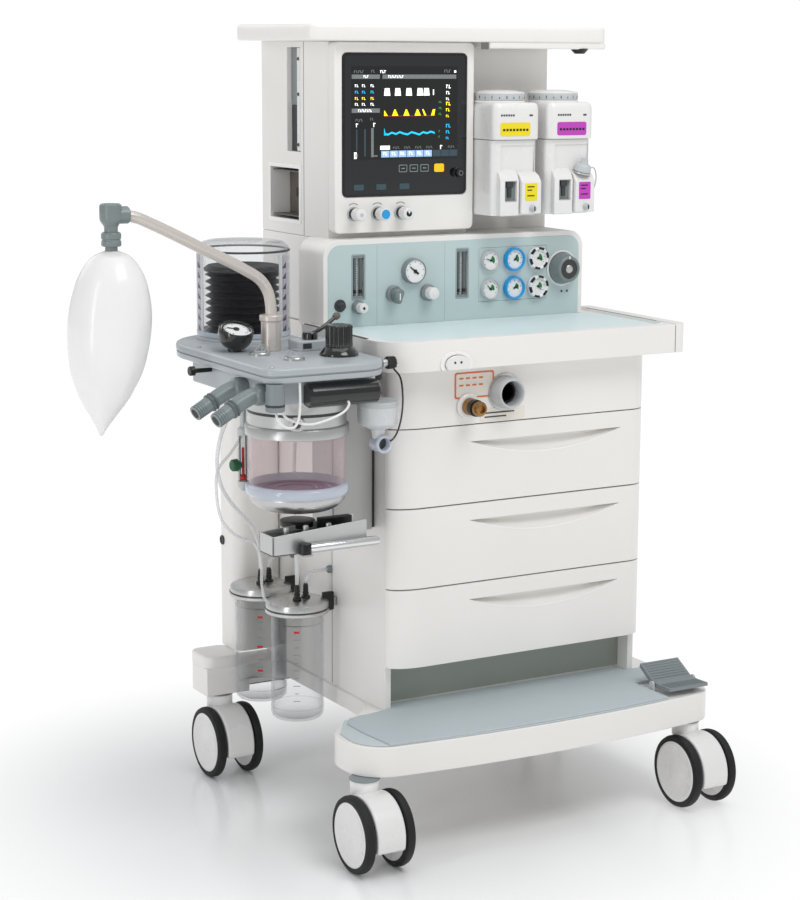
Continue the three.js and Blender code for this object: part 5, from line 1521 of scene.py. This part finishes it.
def add_breathing_bag():
    """A long soft bag with faint lengthwise folds. Its pointed tail is drawn a little outwards."""
    top, bottom = 1009.6, 712.5
    profile = [(3, 712.5), (4, 718), (12, 731), (20, 743), (29, 756), (38, 769), (44.6, 782), (50, 795),
               (56, 808), (60.4, 821), (63, 834), (65, 847), (66.8, 860), (67.8, 874), (68.4, 888),
               (68.2, 902), (67.2, 914), (65.2, 928), (61.6, 944), (56.6, 962), (51, 974), (44, 986),
               (35, 998), (25, 1005), (15, 1008.4), (10.4, 1009.6)]
    rings = []
    sides = 72
    for radius, z in profile:
        share = (z - bottom) / (top - bottom)
        fold = 0.016 * math.sin(math.pi * min(1, share * 1.05))
        lean = 24 * (1 - share) ** 1.7
        ring_points = []
        for i in range(sides):
            a = 2 * math.pi * i / sides
            wave = math.sin(5 * a + 1.3 * share) + 0.6 * math.sin(9 * a - 2 * share + 1)
            r = radius * (1 - fold + fold * 0.6 * wave)
            ring_points.append((BAG_X - lean + r * math.cos(a), POST[1] + 0.98 * r * math.sin(a), z))
        rings.append(ring_points)
    bag = piece("breathing_bag_skin", "bag_silicone", skin(rings), body="bag_arm",
                replaces=["breathing_bag"], angle=180)
    smooth = bag.modifiers.new("smooth", "SUBSURF")
    smooth.levels = 1
    smooth.render_levels = 1
    cuff = turned_up([(10.2, 1003), (14.6, 1001.6), (15, 1006), (13, 1009.6), (10.2, 1009.6)], BAG_X,
                     POST[1], 40)
    piece("breathing_bag_cuff", "bag_silicone", cuff, body="bag_arm")


def add_bellows_dome():
    x, y = BELLOWS
    low = PLATE_TOP + 7.3
    dome = [(0, 1001.8), (63, 1001.8), (71, 999.6), (77, 994), (80, 986), (81, 976), (81, low + 8), (81, low),
            (78.6, low), (78.6, 976), (77.6, 985), (75, 991.6), (70, 996.6), (63, 999.4), (0, 999.4)]
    piece("bellows_dome_shell", "clear_plastic", turned_up(dome, x, y, 72), replaces=["bellows_dome"])
    piece("bellows_dome_top_ring", "dark_grey",
          turned_up([(77.6, 985), (81, 985), (81, 987), (79.4, 988.4), (76.6, 988.4)], x, y, 72))
    piece("bellows_dome_foot", "clear_blue",
          turned_up([(79, low), (81.8, low), (81.8, low + 6), (81, low + 8), (79, low + 8)], x, y, 64))
    strips, marks, backs = [], [], []
    for side in (-1, 1):
        turn = VIEW_TURN - math.pi / 2 + side * math.radians(57)
        spin = Matrix.Translation((x, y, 0)) @ Matrix.Rotation(turn, 4, "Z")
        strips.append(changed(box(77.2, 78.2, -4 + side * 4, 4 + side * 4, low + 4, 980), spin))
        backs.append(changed(box(76.6, 77.4, -9 + side * 15, 9 + side * 15, low + 4, 980), spin))
        for i in range(7):
            z = low + 14 + 18 * i
            step = side * 14
            tri = prism([(step - 5, z - 5), (step + 5, z - 5), (step + 5 * side, z + 5)], 77.2, 78.2, "x")
            marks.append(changed(tri, spin))
    piece("bellows_dome_scale_strips", "dial_white", *strips)
    piece("bellows_dome_scale_backs", "scale_lilac", *backs)
    piece("bellows_dome_scale_marks", "dial_black", *marks)


def add_bellows():
    add_bellows_dome()
    x, y = BELLOWS
    bottom, top, pleats = PLATE_TOP + 7.3, 949.6, 9
    pitch = (top - bottom) / pleats
    profile = [(0, bottom), (54, bottom)]
    for i in range(pleats):
        base = bottom + i * pitch
        profile += [(57, base + pitch * 0.1), (64.6, base + pitch * 0.42), (66, base + pitch * 0.5),
                    (64.6, base + pitch * 0.58), (57, base + pitch * 0.9)]
        profile.append((54, base + pitch))
    profile.append((0, top))
    bellows = piece("bellows_pleats", "bellows_rubber", turned_up(profile, x, y, 64), replaces=["bellows"],
                    angle=80)
    spot((x, y, bottom))
    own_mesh(bellows)
    disc_side = [(0, 950), (67, 950), (68, 951), (68, 955), (62, 959.6), (30, 960), (0, 960)]
    piece("bellows_top_disc", "dial_black", turned_up(disc_side, x, y, 64), body="bellows_disc",
          replaces=["bellows_disc"])
    piece("bellows_top_disc_rim", "dark_grey", turned_up(ring(65.6, 68.4, 951.4, 954.6), x, y, 64),
          body="bellows_disc")


# ---- Absorber ----
def add_absorber():
    x, y = CANISTER
    head = [(78, 705), (85, 705), (86, 706), (86, 721), (84.6, 723), (82, 724.4), (82, 743), (80.6, 744),
            (80.6, 747), (82, 748), (82, 768), (80, 769.6), (0, 769.6), (0, 756), (78, 756)]
    piece("absorber_head_shell", "silver_paint", turned_up(head, x, y, 72), replaces=["absorber_head"])
    piece("absorber_head_groove", "dark_grey", turned_up(ring(79, 81.6, 743.4, 747.6, 0.3), x, y, 72))
    away = Vector((math.sin(VIEW_TURN), -math.cos(VIEW_TURN), 0))
    toward = Matrix.Rotation(math.radians(4), 4, "Z") @ away
    latch_at = Vector((x, y, 733)) + toward * 80
    latch = [(0, 0), (13.4, 0), (13.4, 3.4), (11.6, 5), (8, 5), (7.6, 4), (0, 4)]
    piece("absorber_head_latch", "silver", turned_along(latch, latch_at, toward, 40))
    piece("absorber_head_latch_centre", "dark_grey",
          turned_along([(0, 3.6), (6.4, 3.6), (6.4, 5.2), (5, 6), (0, 6)], latch_at, toward, 32))
    column = [box(-352, -330, -60, 0, 712, 769.6), box(-340, CABINET_LEFT - 7, -62, 14, 518, 769.6)]
    piece("absorber_column", "sheet_metal", *column, bevel=2.2, segments=3)
    # A dark grey strip fills the slot between the column and the cabinet side: painted shade for the gap.
    gap_shade_strip = box(CABINET_LEFT - 7.4, CABINET_LEFT - 0.4, -56, 8, 520, 768)
    piece("absorber_column_gap_shade", "dark_grey", gap_shade_strip)
    add_cradle()
    add_canister()
    add_lock_handle()


def add_cradle():
    """A sheet metal tray in front of the canister, with the lifting gear behind it."""
    x, y = CANISTER
    left, right, front, back, low, high, rise = -507, -334, -172, -122, 518, 551, 13
    side = [(left, low), (right, low), (right, high + rise), (left, high)]
    walls = [prism(side, front, front + 3, "y"), prism(side, back - 3, back, "y"),
             box(left, left + 3, front, back, low, high), box(left, right, front, back, low, low + 3),
             box(x - 44, right, back - 1, -58, low, low + 5)]
    piece("absorber_cradle", "silver_paint", *walls, bevel=0.9, segments=2, angle=50)
    gear = [(0, 522), (30, 522), (30, 532), (24, 534), (24, 548), (30, 550), (30, 559), (24, 560), (0, 560)]
    piece("absorber_lift", "black_plastic", turned_up(gear, x, y, 48),
          box(left + 6, right + 10, back - 30, back - 4, 522, 547),
          box(x + 24, x + 84, y - 36, y - 22, 523, 565), bevel=1.6)
    pins = [turned_up([(0, 546), (5, 546), (5, 556), (4, 558), (0, 558)], x + dx, y - 42, 24)
            for dx in (-42, -6, 36)]
    piece("absorber_lift_pins", "silver", *pins)


def add_lock_handle():
    x, y, z = LOCK
    hub = [(0, 521.4), (11, 521.4), (11, 536), (9.6, 538), (0, 538)]
    piece("lock_handle_pivot", "black_plastic", turned_up(hub, x, y, 32), body="lock_handle")
    piece("lock_handle_ear", "sheet_metal", box(x - 9, x + 9, y - 12, -168, 518, 521), bevel=0.8)
    rod_shape = [(0, x + 2), (6, x + 2), (8, x + 14), (8, x + 132), (7, x + 135.4), (5, x + 136),
                 (0, x + 136)]
    piece("lock_handle_bar", "polished_steel", turned_across(rod_shape, y, z, 28), body="lock_handle",
          replaces=["lock_handle"])


def add_canister():
    x, y = CANISTER
    body = "absorber_canister"
    wall = [(79.8, 625), (80, 704.4), (78.4, 704.4), (78, 612), (79, 610)]
    piece("canister_wall", "clear_pink", turned_up(wall, x, y, 72), body=body, replaces=["absorber_canister"])
    hoop = [(78, 605.6), (83, 605.6), (85, 607.6), (86, 611), (86, 617), (85, 620.4), (83, 622.4),
            (79.6, 624), (78, 624)]
    piece("canister_ring", "clear_blue", turned_up(hoop, x, y, 72), body=body)
    floor = [(0, 608.4), (77.4, 608.4), (77.4, 611.4), (66, 611.4), (64, 613.4), (58, 613.4), (56, 611.4),
             (42, 611.4), (40, 613.4), (34, 613.4), (32, 611.4), (0, 611.4)]
    piece("canister_floor", "canister_purple", turned_up(floor, x, y, 64), body=body)
    bowl = [(0, 573), (24, 573), (26, 574), (26.6, 578), (45, 578.6), (58, 580.6), (67, 584.6), (74, 590),
            (78.6, 596), (80.2, 604), (79, 607.6), (0, 607.6)]
    piece("canister_bowl", "silver", turned_up(bowl, x, y, 72), body=body)


# ---- Ports, sensor, water trap and the small parts under the plate ----
def add_ports():
    for name, y in (("expiratory_port", -102), ("inspiratory_port", -180)):
        route = [(-522, y, 788), (-543, y, 787), (-568, y - 2, 777), (-590, y - 5, 765), (-613, y - 8, 753)]
        path = smooth_path(route, 36)
        pipe = tube(path, lambda s: 13.4 - 2.4 * max(0, s - 0.5), smooth=False, sides=28)
        piece(f"{name}_pipe", "elbow_grey", pipe, replaces=[name])
        ahead = (path[-1] - path[-4]).normalized()
        end = path[-1]
        collar = [(10, 0), (14.6, 0.4), (15.4, 2), (14.6, 3.8), (10, 4.2)]
        collars = [turned_along(collar, end - ahead * back, ahead, 36) for back in (40, 34)]
        rib = [(9, 0), (12.4, 0.3), (12.8, 1.2), (12.4, 2.1), (9, 2.4)]
        ribs = [turned_along(rib, end - ahead * (4 + 4.4 * k), ahead, 32) for k in range(4)]
        piece(f"{name}_collars", "elbow_dark", *collars, *ribs)
        # A thin black disc on the pipe's capped end: painted shade for the dark inside of the open port.
        bore = [(0, 0), (8.4, 0), (8.4, 0.6), (0, 0.6)]
        piece(f"{name}_bore", "dial_black", turned_along(bore, end - ahead * 0.4, ahead, 28))
        bulb = [(0, -546), (12, -545), (16.6, -541), (18, -535), (17.6, -529), (16, -520), (0, -520)]
        piece(f"{name}_root", "elbow_grey", turned_across(bulb, y, 788, 40))


def add_sensor_and_trap():
    x, y = -521, -212
    body = [(0, 764), (14, 764), (15, 765), (15.5, 768), (15.5, 796), (14.4, 798), (14.4, 808.6), (0, 808.6)]
    piece("oxygen_sensor_body", "grey_plastic", turned_up(body, x, y, 44), replaces=["oxygen_sensor"])
    piece("oxygen_sensor_band", "dark_grey", turned_up(ring(15, 15.8, 772, 776, 0.3), x, y, 44))
    lead = [(x, y, 768), (x + 2, y - 6, 752), (x + 12, y - 12, 740), (x + 26, y - 14, 739),
            (x + 36, y - 10, 750), (x + 41, y - 6, 772), (x + 41, y - 5, 808.5)]
    piece("oxygen_sensor_lead", "white_plastic", tube(lead, 2.2, 60, 12))
    x, y = -301, -150
    trap = [(0, 694), (10, 694), (10.6, 700), (12, 708), (20, 712), (29, 716), (33.6, 720), (34.5, 724),
            (34.5, 750), (34, 755), (32, 757), (0, 757)]
    piece("water_trap_bowl", "trap_grey", turned_up(trap, x, y, 56), replaces=["water_trap"])
    lid = [(0, 748), (34.4, 748), (35.2, 749), (35.2, 755), (33.6, 757.4), (0, 757.4)]
    piece("water_trap_lid", "pale_grey", turned_up(lid, x, y, 56))
    stem = [(0, 757), (6, 757), (6, 768), (7.4, 769), (7.4, 775), (6, 776), (6, 808.6), (0, 808.6)]
    piece("water_trap_stem", "silver", turned_up(stem, -319, -160, 28))
    tee = turned_forward([(10.6, 138), (14, 138), (15.5, 140), (15.5, 164), (14, 166), (10.6, 166),
                          (10, 163), (10, 141)], x + 4, 685, 36)
    # A dark grey plug inside the tee's bore: painted shade for the dark inside of the open tee.
    tee_bore_shade = turned_forward([(0, 139), (10.4, 139), (10.4, 152), (0, 152)], x + 4, 685, 32)
    piece("water_trap_tee", "clear_blue", tee)
    piece("water_trap_tee_bore_shade", "dark_grey", tee_bore_shade)


def add_clamp_screw():
    """A small black knob beside the plate, with its shaft and a cable down to the water trap."""
    x, y, z = -296, -170, 822
    knob = changed(fluted(10.5, 0, 15, 10, 1.2, 1.6),
                   Matrix.Translation((x, y, z)) @ Matrix.Rotation(math.pi / 2, 4, "Y"))
    piece("clamp_screw_knob", "black_plastic", knob)
    shaft = [(0, -328), (3.6, -328), (3.6, -306), (6.4, -305), (6.4, -296), (0, -296)]
    piece("clamp_screw_shaft", "silver", turned_across(shaft, y, z, 24))
    cable = [(-286, -176, 812), (-280, -186, 800), (-277, -190, 772), (-277, -188, 740), (-279, -180, 712),
             (-283, -172, 696), (-288, -168, 690)]
    piece("clamp_cable", "black_gloss", tube(cable, 1.6, 60, 10))


def add_underside_parts():
    """The scavenging sight tube, a looped sampling line, a small side knob and a short jointed arm."""
    x, y = -477, 0
    piece("sight_tube_glass", "clear_plastic", turned_up([(8, 612), (9, 612), (9, 690), (8, 690)], x, y, 36))
    rods = [turned_up([(0, 612), (1.1, 612), (1.1, 690), (0, 690)], x + dx, y, 12) for dx in (-5.6, 5.6)]
    piece("sight_tube_rods", "dial_black", *rods)
    piece("sight_tube_float", "mark_red",
          turned_up([(0, 614), (6.2, 614), (6.2, 620), (2.4, 624), (2.4, 668), (0, 670)], x, y, 24))
    upper = [(0, 690), (8, 690), (9.4, 691), (9.4, 701), (7, 704), (5, 706), (5, 770), (0, 770)]
    lower = [(0, 596), (5, 596), (5, 600), (8, 601), (9.4, 603), (9.4, 612), (0, 612)]
    piece("sight_tube_ends", "pale_grey", *[turned_up(end, x, y, 36) for end in (upper, lower)])
    knob = [(0, -499), (8, -499), (10, -497), (10.6, -488), (6, -485), (6, -482), (0, -482)]
    piece("sight_tube_valve", "mark_green", turned_across(knob, y, 640, 32))
    line = [(-455, 40, 769), (-454, 40, 720), (-456, 40, 691), (-480, 40, 655), (-505, 40, 626),
            (-508, 40, 582), (-499, 40, 539), (-470, 48, 508), (-427, 60, 484), (-408, 76, 440),
            (-400, 90, 400), (-392, 93, 374), (-378, 93, 364)]
    piece("sampling_line", "hose", tube(line, 2.6, 110, 12))
    side_knob = [(0, -560), (7, -560), (8, -558.6), (8, -551), (4, -549), (3.6, -520), (0, -520)]
    piece("side_clamp_knob", "black_plastic", turned_across(side_knob, 30, 800, 32))
    arm = [(-312, -60, 800), (-306, -92, 800), (-300, -116, 800), (-297, -138, 801)]
    barrel = [(0, 790), (9, 790), (10, 792), (10, 806), (8, 808), (0, 808)]
    joints = [turned_up(barrel, *at, 28) for at in ((-310, -66), (-303, -100), (-297, -136))]
    piece("jointed_arm", "black_plastic", tube(arm, 5, 30, 16), *joints)
    line = [(-500, -190, 769), (-498, -202, 752), (-470, -226, 742), (-436, -232, 748), (-404, -229, 760),
            (-396, -226, 770), (-396, -210, 776)]
    piece("underside_line", "white_plastic", tube(line, 2.1, 50, 10))


# ---- Suction jars ----
JAR_X = -330
JARS = {"front": (93, 0), "rear": (240, -2)}  # y, and the shift in height
JAR_SCALE_TURN = math.radians(-118)


def add_jars():
    for place, (y, drop) in JARS.items():
        low = 153 + drop
        wall = [(0, low), (34, low), (41, low + 1.6), (45.4, low + 6), (47, low + 12), (47, low + 203.4),
                (44.6, low + 203.4), (44.6, low + 13), (42.6, low + 8), (37, low + 4.6), (0, low + 4)]
        piece(f"suction_jar_{place}_glass", "clear_plastic", turned_up(wall, JAR_X, y, 56),
              replaces=[f"suction_jar_{place}"])
        rings = [turned_up(ring(46.6, 47.3, low + z, low + z + 1.4, 0.2), JAR_X, y, 56) for z in (22, 176)]
        piece(f"suction_jar_{place}_ribs", "clear_plastic", *rings)
        turn = Matrix.Translation((JAR_X, y, 0)) @ Matrix.Rotation(JAR_SCALE_TURN, 4, "Z")
        marks = []
        for i in range(9):
            wide = 7 if i % 2 else 12
            z = low + 40 + 14 * i
            shape = box(46.6, 47.4, -wide / 2, wide / 2, z, z + 1)
            marks.append(changed(shape, turn))
        piece(f"suction_jar_{place}_scale", "tile_grey", *marks)
        heights = (60, 105, 160) if place == "rear" else (164,)
        red = [changed(box(46.7, 47.6, -5, 5, low + z, low + z + 4), turn) for z in heights]
        piece(f"suction_jar_{place}_full_mark", "mark_red", *red)
        lid = [(0, 358.4), (47.4, 358.4), (47.6, 346), (55.6, 346), (57, 347.4), (57, 352), (56, 353),
               (56, 363), (54.4, 366), (50, 368), (30, 371.6), (20, 373.4), (0, 374.6)]
        lid_name = f"jar_lid_{place}"
        at = (JAR_X, y)
        piece(f"{lid_name}_cap", "silver", moved(turned_up(lid, *at, 64), 0, 0, drop), replaces=[lid_name])
        rim = turned_up(ring(55.4, 57.2, 353.4, 355.4, 0.3), *at, 64)
        piece(f"{lid_name}_rim_band", "dark_grey", moved(rim, 0, 0, drop))
        arm = box(JAR_X + 50, CABINET_LEFT - 0.5, y - 12, y + 12, 350 + drop, 366 + drop)
        piece(f"{lid_name}_arm", "sheet_metal", arm, bevel=2)
        piece(f"{lid_name}_clip", "black_plastic",
              box(JAR_X + 44, JAR_X + 66, y - 17, y - 8, 344 + drop, 378 + drop), bevel=2.6, segments=3)
        barb = [(0, 373), (8, 373), (8, 376), (5.4, 378), (5, 381), (6, 382), (4.4, 386), (5.4, 387),
                (4.2, 391), (5, 392), (3.4, 399.6), (0, 399.6)]
        places = ((JAR_X - 10, y - 20), (JAR_X + 10, y - 14))
        barbs = [moved(turned_up(barb, *place, 28), 0, 0, drop) for place in places]
        piece(f"{lid_name}_barbs", "black_plastic", *barbs)
        elbow = tube([(JAR_X + 10, y - 14, 396 + drop), (JAR_X + 12, y - 14, 408 + drop),
                      (JAR_X + 24, y - 8, 416 + drop), (JAR_X + 44, y + 4, 414 + drop),
                      (CABINET_LEFT - 4, y + 12, 412 + drop)], 3.4, 40, 12)
        piece(f"{lid_name}_link_hose", "hose", elbow)
        port = turned_across([(0, CABINET_LEFT - 8), (5, CABINET_LEFT - 8), (7, CABINET_LEFT - 5),
                              (7, CABINET_LEFT + 1), (0, CABINET_LEFT + 1)], y + 12, 412 + drop, 24)
        piece(f"{lid_name}_wall_port", "grey_plastic", port)


# ---- Stage: floor and soft studio lights ----
WORLD_LIGHT = 0.56


def fading_floor():
    """Pale glossy floor that turns into the plain white of the backdrop with distance from the machine."""
    material, tree, shader = node_material("studio_floor", "shell")
    tree.links.new(shaded(tree, (0.93, 0.93, 0.93), 0.012, 1.5), shader.inputs["Base Color"])
    shader.inputs["Roughness"].default_value = 0.2
    where = tree.nodes.new("ShaderNodeTexCoord")
    length = tree.nodes.new("ShaderNodeVectorMath")
    length.operation = "LENGTH"
    tree.links.new(where.outputs["Object"], length.inputs[0])
    fade = put(tree, "ShaderNodeMapRange")
    fade.interpolation_type = "SMOOTHSTEP"
    fade.inputs["From Min"].default_value = 0.3
    fade.inputs["From Max"].default_value = 0.95
    tree.links.new(length.outputs["Value"], fade.inputs["Value"])
    white = put(tree, "ShaderNodeEmission", Strength=1.02)
    mix = tree.nodes.new("ShaderNodeMixShader")
    tree.links.new(fade.outputs["Result"], mix.inputs["Fac"])
    tree.links.new(shader.outputs["BSDF"], mix.inputs[1])
    tree.links.new(white.outputs["Emission"], mix.inputs[2])
    tree.links.new(mix.outputs["Shader"], tree.nodes["Material Output"].inputs["Surface"])
    return material


def add_stage():
    mesh = bpy.data.meshes.new("floor")
    half = 12
    mesh.from_pydata([(-half, -half, 0), (half, -half, 0), (half, half, 0), (-half, half, 0)], [],
                     [(0, 1, 2, 3)])
    mesh.materials.append(fading_floor())
    floor = bpy.data.objects.new("floor", mesh)
    floor.location.z = ORIGIN.z - 0.0005
    bpy.context.scene.collection.objects.link(floor)
    world = bpy.data.worlds.new("studio")
    world.use_nodes = True
    tree = world.node_tree
    lighting = tree.nodes["Background"]
    lighting.inputs["Color"].default_value = (0.96, 0.98, 1, 1)
    lighting.inputs["Strength"].default_value = WORLD_LIGHT
    backdrop = put(tree, "ShaderNodeBackground", Color=(1, 1, 1, 1), Strength=1.05)
    seen = tree.nodes.new("ShaderNodeLightPath")
    mix = tree.nodes.new("ShaderNodeMixShader")
    tree.links.new(seen.outputs["Is Camera Ray"], mix.inputs["Fac"])
    tree.links.new(lighting.outputs["Background"], mix.inputs[1])
    tree.links.new(backdrop.outputs["Background"], mix.inputs[2])
    tree.links.new(mix.outputs["Shader"], tree.nodes["World Output"].inputs["Surface"])
    bpy.context.scene.world = world
    bpy.context.scene.view_settings.view_transform = "Standard"


def add_light(name, place, size, power):
    """A large soft box that faces the middle of the machine."""
    data = bpy.data.lights.new(name, "AREA")
    data.shape = "RECTANGLE"
    data.size, data.size_y = size
    data.energy = power
    light = bpy.data.objects.new(name, data)
    light.location = place
    light.rotation_euler = (Vector((0, 0, 0.7)) - Vector(place)).to_track_quat("-Z", "Y").to_euler()
    bpy.context.scene.collection.objects.link(light)


def add_lights():
    add_light("key_box", (0.6, -2.2, 3.7), (1.8, 1.6), 46)
    add_light("left_strip", (-3.0, -1.2, 1.5), (0.4, 2.8), 18)
    add_light("top_box", (0.2, 0.2, 3.6), (2.6, 2.2), 22)
    add_light("back_box", (-1.2, 3.2, 2.4), (2.4, 1.6), 12)


def build():
    add_hoses()
    add_base()
    add_footrest()
    add_brake_pedal()
    add_castors()
    add_cabinet()
    for i, name in enumerate(("bottom", "middle", "top")):
        add_drawer(name, DRAWER_SEAMS[i], DRAWER_SEAMS[i + 1])
    add_gas_outlets()
    add_work_surface()
    add_control_panel()
    add_flow_tubes()
    add_panel_knobs()
    add_gauges()
    add_monitor()
    add_fresh_gas_knobs()
    add_tower()
    add_top_shelf()
    for side, x in VAPORIZERS.items():
        add_vaporizer(side, x)
    add_filler_cap()
    add_breathing_plate()
    add_valves()
    add_airway_gauge()
    add_apl_knob()
    add_bag_lever()
    add_bag_arm()
    add_breathing_bag()
    add_bellows()
    add_absorber()
    add_ports()
    add_sensor_and_trap()
    add_clamp_screw()
    add_underside_parts()
    add_jars()
    add_stage()
    add_lights()


build()
